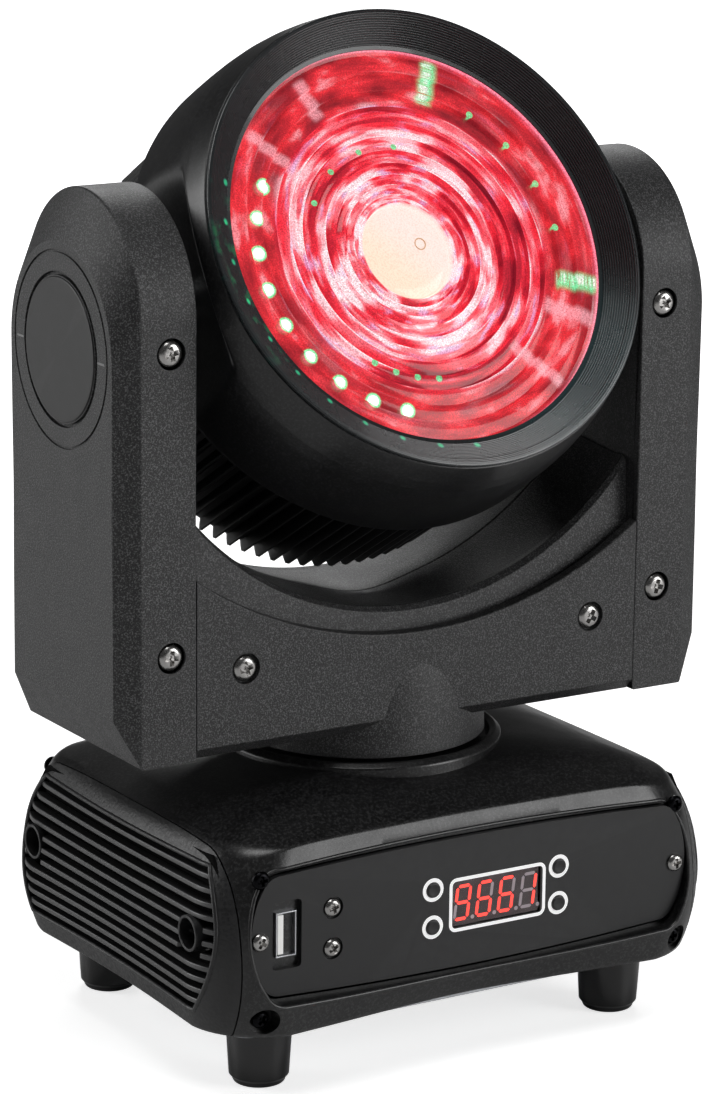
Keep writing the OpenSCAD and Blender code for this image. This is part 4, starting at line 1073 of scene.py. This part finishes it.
piece("display_pane", display_box(15.05, 7, 0.05, 0.3), "base", M["pane"], ["display_window"])

cap = rounded([(0, -3.0), (2.2, -3.0), (2.2, 0.8, 0.35), (0.9, 0.62, 0.4), (0, 0.55)], steps=5)
cap = join(lathe(cap, 48), lathe([(0, -3.3), (3.0, -3.3), (3.0, -2.2), (2.1, -2.2)], 32))
for key, at in KEY_PLACES.items():
    piece(f"{key}_key_cap", moved(cap, facing(*at)), f"{key}_key", M["key"], [f"{key}_button"])

# USB socket: folded shell with spring slots, an ivory tongue, and a dark bracket behind
usb = usb_box(-3.3, 3.3, 0.5, 12, 6.6)
carve(usb, [usb_box(-2.9, 2.9, -5, 11.5, 6.2)] + [usb_box(2, 5, 1.9, 6, 1.0, q) for q in (-3.2, 3.2)])
piece("usb_shell", usb, "base", M["steel"], ["usb_socket"], bevel=0.12)
# Bracket and cavity are near-black: painted shade round and inside the socket
bracket = usb_box(-5.6, 5.6, 3.6, 4.6, 11)
carve(bracket, [usb_box(-3.2, 3.2, 0, 8, 6.5)])
piece("usb_bracket", bracket, "base", M["void"])
tongue = usb_box(-2.5, -0.7, 0.8, 11.4, 5.8)
cavity = usb_box(-2.85, 2.85, 2.8, 11.4, 6.15)
carve(cavity, [usb_box(-2.7, -0.5, -2, 11.8, 6.0)])
piece("usb_cavity", cavity, "base", M["void"])
piece("usb_tongue", tongue, "base", M["ivory"], bevel=0.15)
pads = [usb_part(-0.75, -0.6, 1.2, 9, 0.5, q) for q in (-3.6, -1.2, 1.2, 3.6)]
pads += [usb_part(0.9, 2.3, 2.2, 2.6, 0.9, q) for q in (-3.4, 3.4)]
piece("usb_contacts", join(*pads), "base", M["brass"])

# ---------------------------------------------------------------------- yoke

arm_lo, arm_hi = span("right_arm_cover")
ARM_X, ARM_SIDE = arm_lo.x, arm_hi.x
ARM_R = arm_hi.y
ARM_LOW, ARM_TOP = arm_lo.z, arm_hi.z
ARM_AXIS = ARM_TOP - ARM_R
CREASE = ARM_X + 17.5
SIDE_R, SIDE_AXIS, SIDE_LOW = 30.4, 208.5, 108.0
WALL = 2.4
TILT_Z = sum(span("trunnions")[i].z for i in (0, 1)) / 2


def arm_outline(r, axis, low, n=48, m=14):
    pts = [(r, low + (axis - low) * k / m) for k in range(m)]
    pts += [(r * math.cos(math.pi * k / n), axis + r * math.sin(math.pi * k / n)) for k in range(n)]
    pts += [(-r, axis + (low - axis) * k / m) for k in range(m)]
    pts += [(-r + 2 * r * k / m, low) for k in range(m)]
    return pts


def arm_skin():
    """The right arm's cover, from its flat side down over the crease to the inner edge."""
    outer = arm_outline(ARM_R, ARM_AXIS, ARM_LOW)
    side = arm_outline(SIDE_R, SIDE_AXIS, SIDE_LOW)
    columns = []
    for i, (p, q) in enumerate(zip(outer, side)):
        p, q = Vector(p), Vector(q)
        d = (q - p).length
        u = (q - p).normalized()
        line = rounded([(ARM_SIDE - WALL, d + 6), (ARM_SIDE - WALL, d + 1.6, 0.5), (CREASE - 1, WALL, 0.5),
                        (ARM_X + 0.05, WALL), (ARM_X + 0.05, 0, 0.6), (CREASE, 0, 1.0),
                        (ARM_SIDE, d, 1.5), (ARM_SIDE, d + 6)], steps=6)
        columns.append([(x, p.x + u.x * h, p.y + u.y * h) for x, h in line])
    rows = [[c[k] for c in columns] for k in range(len(columns[0]))]
    return skin(rows, caps=True)


ARM_SCREWS = [(ARM_X + 8, z) for z in (125.2, 211.4)]
BAR_SCREWS = [(x, 119.0) for x in (-59, 59)]
BADGE_R = 20.5


def seat(x, z, turn=0):
    """A counterbore for a pan head, in the front or, when turn is 180, in the back."""
    bore = lathe([(0, -1.8), (4.3, -1.8), (4.5, -1.6), (4.5, 5), (0, 5)], 48)
    return raw("t", moved(bore, facing(x, -ARM_R, z, turn)))


for s, side in ((1, "right"), (-1, "left")):
    arm = raw(f"{side}_arm_skin", arm_skin())
    # Round badge seat: a raised ring, a groove and the flat inside
    disc = lathe([(20.9, 3), (20.9, -1.2), (22.0, -1.2), (22.0, 3)], 96, closed=True)
    ledge = lathe([(27.2, 3), (27.3, -0.55), (28.0, -0.55), (28.5, 3)], 96, closed=True)
    at = turned("Y", 90, (ARM_SIDE, 0, SIDE_AXIS))
    bores = [seat(x if t == 0 else -x, z, t) for x, z in ARM_SCREWS for t in (0, 180)]
    carve(arm, [raw("t", moved(disc, at)), raw("t", moved(ledge, at))] + bores)
    if s < 0:
        arm.data.transform(Matrix.Scale(-1, 4, (1, 0, 0)))
        arm.data.flip_normals()
    piece(f"{side}_arm_skin", arm, "yoke", M["yoke"], [f"{side}_arm_cover"], sharp=34)

discs, ticks = [], []
for s in (1, -1):
    profile = rounded([(0, -0.9), (BADGE_R, -0.9), (BADGE_R, 0.38, 0.3),
                       (BADGE_R - 0.9, 0.42, 0.4), (0, 0.3)], steps=4)
    badge = lathe(profile, 96)
    at = Matrix.Scale(s, 4, (1, 0, 0)) @ turned("Y", 90, (ARM_SIDE, 0, SIDE_AXIS))
    discs.append(moved(badge, at))
    for q in (-1, 1):
        tick = prism(soft_box(BADGE_R + 3.75, 0, 1.95, 0.3, 0.15), -0.3, 0.12)
        ticks.append(moved(tick, at @ turned("Z", 90 * q)))
piece("arm_badges", join(*discs), "yoke", M["badge"], ["arm_discs"])
piece("arm_badge_ticks", join(*ticks), "yoke", M["tick"])


def arc_up(x, r, z0):
    """Height of an arc of radius r that is lowest, at z0, where x is 0."""
    return z0 + r - math.sqrt(r * r - x * x)


# The saddle between the arms: distance from the middle and height, joined by a smooth curve
SADDLE = [(0, 126.8), (20, 131.0), (34.5, 136.4), (48.7, 144.4), (63, 155.6), (76, 167.6)]


def middle(x):
    """Height of the saddle's bottom."""
    x = abs(x)
    for (x0, z0), (x1, z1) in zip(SADDLE, SADDLE[1:]):
        if x <= x1:
            t = (x - x0) / (x1 - x0)
            i = SADDLE.index((x0, z0))
            m0 = 0 if i == 0 else (z1 - SADDLE[i - 1][1]) / (x1 - SADDLE[i - 1][0])
            nxt = SADDLE[min(i + 2, len(SADDLE) - 1)]
            m1 = (nxt[1] - z0) / (nxt[0] - x0)
            h = x1 - x0
            return ((2 * t ** 3 - 3 * t ** 2 + 1) * z0 + (t ** 3 - 2 * t ** 2 + t) * h * m0
                    + (-2 * t ** 3 + 3 * t ** 2) * z1 + (t ** 3 - t ** 2) * h * m1)
    return SADDLE[-1][1]


def bar_section(x):
    """The front crossbar cover in Y and Z: chamfer, face, lip, channel, bead and half the saddle."""
    lip = arc_up(x, 129, 122.4)
    edge = arc_up(x, 95.4, 128.4)
    mid = middle(x)
    seam = -0.12
    line = [(seam, ARM_LOW + 2.2), (seam, ARM_LOW, 0.2), (-ARM_R + 3, ARM_LOW, 0.8),
            (-ARM_R, ARM_LOW + 3.2, 0.8), (-ARM_R, lip, 0.7), (-30.8, lip + 0.2, 0.4),
            (-30.3, lip - 1.4, 0.4), (-29.0, lip - 1.4, 0.4), (-28.0, edge - 1.2, 0.9),
            (-26.2, edge + 0.35, 0.8)]
    for y in (-24, -20, -16, -12, -8, -4, -1.2):
        t = 0.5 + 0.5 * math.cos(math.pi * y / 24)
        line.append((y, edge + (mid - edge) * t, 0.9 if y == -24 else 0))
    line += [(seam - 0.35, mid), (seam, mid - 0.35), (seam, mid - 2.2)]
    inner = [(-12, edge + (mid - edge) * 0.5 - 2.2), (-24, edge - 2.4), (-27.2, edge - 3.2),
             (-28.4, lip - 3.6), (-ARM_R + WALL, lip - 3.6), (-ARM_R + WALL, ARM_LOW + 4),
             (-ARM_R + 4.4, ARM_LOW + 2.2)]
    return rounded(line + inner, closed=True, steps=5)


def cone_half():
    """Half of the neck cone below the crossbar."""
    outside = [(37.15, 86.0, 0.4), (36.9, 91), (36.5, 96), (35.9, 102), (35.0, 107.5), (33.9, 113.4),
               (32, 118)]
    inside = [(29.5, 118), (33.0, 105), (34.6, 95), (34.9, 86.0)]
    return lathe(rounded(outside + inside, closed=False, steps=4), 96, math.pi, math.pi, closed=True)


BAR_STEPS = 96
for t, side in ((0, "front"), (180, "rear")):
    across = [(-1 + 2 * k / BAR_STEPS) * (ARM_X - 0.14) for k in range(BAR_STEPS + 1)]
    bar = raw("t", skin([[(x, y, z) for y, z in bar_section(x)] for x in across], caps=True))
    carve(bar, [seat(x, z) for x, z in BAR_SCREWS])
    cone = raw("t", cone_half())
    # End walls of the half cone
    bm = bmesh.new()
    bm.from_mesh(cone.data)
    bmesh.ops.holes_fill(bm, edges=[e for e in bm.edges if e.is_boundary])
    bmesh.ops.recalc_face_normals(bm, faces=bm.faces)
    bm.to_mesh(cone.data)
    bm.free()
    bar.data.transform(turned("Z", t))
    cone.data.transform(turned("Z", t))
    piece(f"{side}_crossbar_skin", bar, "yoke", M["yoke"],
          [f"crossbar_{side}_cover"], sharp=34)
    piece(f"{side}_neck_cone", cone, "yoke", M["yoke"], sharp=34)

places = [facing(q * x, -ARM_R + 1.75, z, t) for x, z in ARM_SCREWS for q in (-1, 1) for t in (0, 180)]
places += [facing(x, -ARM_R + 1.75, z, t) for x, z in BAR_SCREWS for t in (0, 180)]
piece("yoke_screw_heads", scatter(M4, places), "yoke", M["nickel"], ["yoke_screws"])

# ---------------------------------------------------------------------- head

HEAD = Matrix.Translation((0, 0, TILT_Z * MM)) @ Matrix.Rotation(math.radians(60), 4, "X")
FLAT = 66.0


def flat_limit(z, wall_in=0.0):
    """Half width allowed by the side flats at a height along the lens axis."""
    t = z - 28.0
    rise = 0 if t < -1 else (t + 1) ** 2 / 4 if t < 1 else t
    return FLAT - wall_in + rise


def soft_min(a, b, k=0.7):
    """The smaller of two values, blended where they are close."""
    h = max(0.0, k - abs(a - b)) / k
    return min(a, b) - h * h * k / 4


def flattened(profile, n, wall_ins):
    """A lathe whose sides are cut flat; each profile point has its own distance inside the flat."""
    rows = []
    for (r, z), w in zip(profile, wall_ins):
        row = []
        lim = flat_limit(z, w)
        for k in range(n):
            a = TAU * (k + 0.5) / n
            x, y = r * math.cos(a), r * math.sin(a)
            row.append((math.copysign(soft_min(abs(x), lim), x), y, z))
        rows.append(row)
    return skin(rows, loop=True)


# The barrel's gentle bulge: height along the lens axis and outer radius
BARREL = [(2, 74.48), (9, 74.3), (16, 73.95), (22, 73.4), (27, 72.6), (31, 71.7), (34, 70.9), (38, 69.8)]


def barrel_r(z):
    """The barrel's outer radius at a height along the lens axis."""
    for (z0, r0), (z1, r1) in zip(BARREL, BARREL[1:]):
        if z <= z1:
            return r0 + (r1 - r0) * (z - z0) / (z1 - z0)


heights = [2, 5, 9, 12, 16, 19, 22, 24, 25.5] + [26.5 + 0.5 * i for i in range(22)]
flank = [(barrel_r(z), z) for z in heights]
outside = rounded([(73.2, -2.0), (74.5, -2.0, 0.5)] + flank + [(69.6, 38.6, 0.3), (68.6, 38.6)], steps=4)
inside = [(66.6, 38.6), (66.6, 33.0), (69.2, 30.5), (71.0, 25), (72.0, 10), (72.1, -1.6)]
profile = outside + inside
insets = [0] * len(outside) + [WALL] * len(inside)
piece("barrel_skin", flattened(profile, 384, insets), "head", M["barrel"],
      ["front_barrel"], sharp=40, place=HEAD)

# Bezel: a rim, then concentric ridges that fall to the lens
RIDGES = 14
RIDGE_STEPS = 8 * RIDGES
R_OUT, R_IN, L_RIM, L_LENS = 68.4, 60.5, 39.75, 33.6
line = rounded([(R_IN - 1.2, L_LENS - 0.6), (66.2, L_LENS - 0.6), (66.2, 36.7), (69.25, 36.7),
                (69.3, 39.9, 0.55), (68.5, 39.95)], steps=4)
for k in range(RIDGE_STEPS + 1):
    t = k / RIDGE_STEPS
    rise = 0.3 * (0.5 - 0.5 * math.cos(TAU * t * RIDGES)) ** 0.7
    line.append((R_OUT + (R_IN - R_OUT) * t - 0.62 * rise, L_RIM + (L_LENS - L_RIM) * t + 0.78 * rise))
line.append((R_IN - 1.2, L_LENS - 0.2))
piece("bezel_ridged", lathe(line, 240, closed=True), "head", M["bezel"],
      ["front_bezel"], sharp=55, place=HEAD)

# Stepped lens: a domed middle, then facets that fall outwards, on a flat back
facets = [facet_radius(i) for i in range(12)]


def dish(r):
    """How far the lens's stepped face lies below its rim."""
    return 6.5 * (1 - min(1.0, r / 60.0) ** 2)


top = [(14.2 * math.sin(a), 31.3 + 1.5 * math.cos(a) - dish(14.2 * math.sin(a)))
       for a in (math.pi / 2 * k / 10 for k in range(11))]
for r0, r1 in zip(facets, facets[1:]):
    for k in range(5):
        t = k / 4
        r = r0 + (r1 - r0) * t * 0.97
        top.append((r, 32.9 - 1.5 * t ** 1.6 - dish(r)))
top += [(61.2, 32.3), (61.2, 29.6)]
back_face = [(r, 29.4 - dish(r)) for r in (60, 50, 40, 30, 20, 10, 0)]
piece("lens_stepped", lathe(top + back_face, 192), "head", M["lens"], ["fresnel_lens"],
      sharp=30, place=HEAD)

# Bowl behind the lens, lit red by the lamp
bowl = [(11.5, -6.2), (21, 3.6), (31, 13.4), (42.2, 24.4), (43.2, 24.2), (42.6, 21.4), (32, 11.5),
        (22, 1.5), (13, -8.0), (11.5, -8.2)]
piece("light_bowl", lathe(bowl, 144, closed=True), "head", M["glow_bowl"],
      ["reflector"], place=HEAD)
plate = [(43.4, 22.0), (61.5, 22.0), (64.5, 24.0), (64.5, 25.2), (61.0, 23.8), (43.4, 23.8)]
piece("led_board_lit", lathe(plate, 144, closed=True), "head", M["glow_board"],
      ["led_ring"], place=HEAD)
wall_ring = [(61.6, 23.9), (64.8, 24.5), (64.8, 29.4), (61.6, 29.4)]
piece("lens_holder", lathe(wall_ring, 144, closed=True), "head", M["dark"], place=HEAD)
LEDS = 30
LED_SHAPE = Matrix.Translation((47, 0, 23.7)) @ Matrix.Diagonal((1, 0.8, 1, 1))
bulb = lathe(rounded([(0, 0), (2.6, 0), (2.6, 1.0, 0.5), (2.0, 2.6, 1.0), (0, 3.0)], steps=3), 20)
leds = {"bright": [], "faint": [], "unlit": []}
for i in range(LEDS):
    deg = 360 * (i + 0.8) / LEDS
    state = "bright" if 150 < deg < 272 else "faint" if deg < 76 else "unlit"
    leds[state].append(moved(bulb, turned("Z", deg) @ LED_SHAPE))
piece("leds_bright", join(*leds["bright"]), "head", M["led_strong"], place=HEAD)
piece("leds_faint", join(*leds["faint"]), "head", M["led_faint"], place=HEAD)
piece("leds_unlit", join(*leds["unlit"]), "head", M["led_off_painted_red_glow"], place=HEAD)
gate = lathe([(1.7 + u, v) for u, v in circle(0.22, 8)], 40, closed=True)
gate = moved(gate, Matrix.Translation((5.0, 1.9, 26.2)))
piece("lens_gate_mark", gate, "head", M["gate"], place=HEAD)
lamp = rounded([(0, -10.4), (18, -10.4), (18, -9.0, 0.4), (10.5, -9.0, 0.3), (10.3, -7.6, 0.5), (0, -7.2)],
               steps=4)
piece("lamp_lit", lathe(lamp, 96), "head", M["lamp_glow"], ["lamp_module"], place=HEAD)

# Rear housing with its ribs, thin rim band and open guard
RIBS = 90
PER = 8
wave = [0, 0, 0.55, 1, 1, 0.55, 0, 0]


def rear_row(root, rib, z, inset=0.0):
    """One ring of the rear housing, with ribs of a given height where it isn't cut flat."""
    row = []
    lim = FLAT - inset
    for i in range(RIBS):
        mid_a = TAU * (i + 0.5) / RIBS
        ribbed = abs(70 * math.cos(mid_a)) < FLAT - 1
        for k in range(PER):
            a = TAU * (i + (k + 0.5) / PER) / RIBS
            r = root + (rib * wave[k] if ribbed else 0)
            x, y = r * math.cos(a), r * math.sin(a)
            row.append((math.copysign(min(abs(x), lim), x), y, z))
    return row


# Rows of (root radius, rib height, height along the lens axis, distance inside the flats)
inner_wall = [(38, 0, -51.2, 0), (63.9, 0, -51.2, 2.4), (64, 0, -4, 2.4)]
lip = [(69.4, 0, -3.4, 4.2), (69.4, 0, 3.5, 4.2), (70.8, 0, 3.5, 3.0), (70.9, 0, -3.3, 3.0)]
band = [(71.1, 0, -3.4, 0), (71.5, 0, -3.8, 0), (71.5, 0, -7.2, 0), (71.2, 0, -7.6, 0)]
ribs = [(66.6, 0, -7.7, 0), (66.5, 1.2, -8.0, 0)]
ribs += [(66.5, 3.5, -9.2 - 41.3 * k / 8, 0) for k in range(9)]
ribs += [(66.0, 3.3, -52.0, 0), (65.0, 1.2, -53.3, 0)]
end_face = [(62.8, 0, -53.5, 0), (38.4, 0, -53.5, 0), (38, 0, -53.1, 0)]
housing = skin([rear_row(*row) for row in inner_wall + lip + band + ribs + end_face], loop=True)
guard = [lathe([(r + u, -52.4 + v) for u, v in circle(1.0, 10)], 96, closed=True) for r in (10, 19, 28)]
guard.append(lathe(rounded([(0, -51.4), (4.2, -51.4), (4.2, -53.3, 0.5), (0, -53.45)], steps=3), 40))
for deg in (45, 135):
    bar = prism(soft_box(0, 0, 38.4, 1.1, 0.3), -53.0, -51.6)
    guard.append(moved(bar, turned("Z", deg)))
piece("rear_housing_ribbed", housing, "head", M["fins"], ["rear_housing"], sharp=35,
      place=HEAD)
piece("rear_guard", join(*guard), "head", M["fins"], place=HEAD)

# Fan: a hub with seven curved blades
FAN_L = -51.0
HUB_R, TIP_R, BLADES, BLADE_STEPS = 13.6, 36.0, 7, 8
hub = rounded([(0, FAN_L + 2.2), (12.5, FAN_L + 2.2, 0.6), (14, FAN_L + 3.4, 0.6), (14, FAN_L + 12.2, 0.5),
               (0, FAN_L + 12.2)], steps=4)
blades = [lathe(hub, 64)]
for i in range(BLADES):
    rows = []
    for j in range(BLADE_STEPS + 1):
        out = j / BLADE_STEPS
        r = HUB_R + (TIP_R - HUB_R) * j / BLADE_STEPS
        top_row, low_row = [], []
        for k in range(BLADE_STEPS + 1):
            t = k / BLADE_STEPS
            a = TAU * i / BLADES + math.radians(-10 + 34 * t + 10 * out ** 2)
            h = FAN_L + 3.4 + 7.6 * t ** 1.25
            p = (r * math.cos(a), r * math.sin(a))
            top_row.append((*p, h + 0.45))
            low_row.append((*p, h - 0.45))
        rows.append(top_row + low_row[::-1])
    blades.append(skin(rows, caps=True))
piece("fan_rotor_moulded", join(*blades), "fan", M["dark"], ["fan_rotor"], place=HEAD)

# --------------------------------------------- CAD nodes that keep their mesh

KEEP = {
    "base_plate": "sheet", "rear_panel": "panel", "signal_in_socket": "connector",
    "signal_out_socket": "connector", "socket_latch": "key", "power_in_socket": "connector",
    "power_out_socket": "connector", "fuse_holder": "connector", "power_supply": "sheet",
    "main_board": "pcb", "chassis_plate": "sheet", "pan_bearing": "steel", "pan_motor": "oxide",
    "pan_belt": "rubber", "pan_motor_pulley": "alloy", "pan_shaft": "alloy", "pan_pulley": "connector",
    "yoke_frame": "sheet", "arm_inner_covers": "yoke", "tilt_bearings": "steel", "tilt_motor": "oxide",
    "tilt_belt": "rubber", "driver_board": "pcb", "tilt_motor_pulley": "alloy", "trunnions": "alloy",
    "tilt_pulley": "connector", "head_frame": "sheet", "heat_sink": "alloy", "fan_frame": "connector",
    "control_board": "pcb",
}
for node, look in KEEP.items():
    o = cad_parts[node]
    o.data.materials.clear()
    o.data.materials.append(M[look])
    for p in o.data.polygons:
        p.use_smooth = True
    soften(o, 0.25, 2, 40).harden_normals = True

# ------------------------------------------------------- camera, light, floor

AIM = Vector((0, 0, 0.16))


def area(name, at, width, height, power):
    """A soft box aimed at the object's middle, at a place in metres."""
    data = bpy.data.lights.new(name, "AREA")
    data.shape = "RECTANGLE"
    data.size = width
    data.size_y = height
    data.energy = power
    o = bpy.data.objects.new(name, data)
    bpy.context.scene.collection.objects.link(o)
    o.location = at
    o.visible_camera = False
    o.rotation_euler = (AIM - Vector(at)).to_track_quat("-Z", "Y").to_euler()
    return o


bpy.context.scene.view_settings.view_transform = "Standard"
world = bpy.data.worlds.new("studio")
bpy.context.scene.world = world
world.use_nodes = True
sky = world.node_tree
background = sky.nodes["Background"]
background.inputs["Color"].default_value = (1, 1, 1, 1)
seen = sky.nodes.new("ShaderNodeLightPath")
level_mix = sky.nodes.new("ShaderNodeMapRange")
level_mix.inputs["To Min"].default_value = ROOM_LIGHT
level_mix.inputs["To Max"].default_value = 1.0
sky.links.new(seen.outputs["Is Camera Ray"], level_mix.inputs["Value"])
sky.links.new(level_mix.outputs[0], background.inputs["Strength"])

camera_data = bpy.data.cameras.new("camera")
camera_data.lens = 129.63
camera_data.sensor_width = 36
camera_data.sensor_fit = "AUTO"
camera_data.clip_end = 50
camera = bpy.data.objects.new("camera", camera_data)
bpy.context.scene.collection.objects.link(camera)
yaw, pitch, roll = (math.radians(a) for a in (-31.77, 13.83, 0.63))
ahead = Vector((-math.sin(yaw) * math.cos(pitch), math.cos(yaw) * math.cos(pitch), -math.sin(pitch)))
level = Vector((math.cos(yaw), math.sin(yaw), 0))
over = level.cross(ahead)
right = level * math.cos(roll) + over * math.sin(roll)
top = over * math.cos(roll) - level * math.sin(roll)
rotation = Matrix((right, top, -ahead)).transposed().to_4x4()
camera.matrix_world = Matrix.Translation(Vector((-595.0, -961.1, 418.2)) * MM) @ rotation
bpy.context.scene.camera = camera

bpy.ops.mesh.primitive_plane_add(size=8)
floor = bpy.context.object
floor.name = "floor"
k = Nodes("pale_floor")
camera_ray = k.add("ShaderNodeLightPath").outputs["Is Camera Ray"]
x, y, r, a = lens_pattern(k)
shine = k.math("MULTIPLY_ADD", step(k, r, 450, 1100), 0.5, 0.72)
k.set(Base_Color=k.mix(k.noise(400.0, 2), (0.80, 0.80, 0.80), (0.82, 0.82, 0.82)), Roughness=0.55,
      Emission_Color=(1, 1, 1, 1), Emission_Strength=k.math("MULTIPLY", camera_ray, shine))
floor.data.materials.append(k.mat)
lights = [
    area("right_softbox", (1.7, -2.1, 0.75), 1.3, 1.9, 40),
    area("left_softbox", (-1.9, 1.5, 0.8), 1.2, 1.9, 28),
    area("top_softbox", (-0.35, -0.5, 2.2), 1.1, 0.8, 16),
    area("rear_softbox", (1.3, 2.0, 1.5), 1.0, 1.0, 14),
]
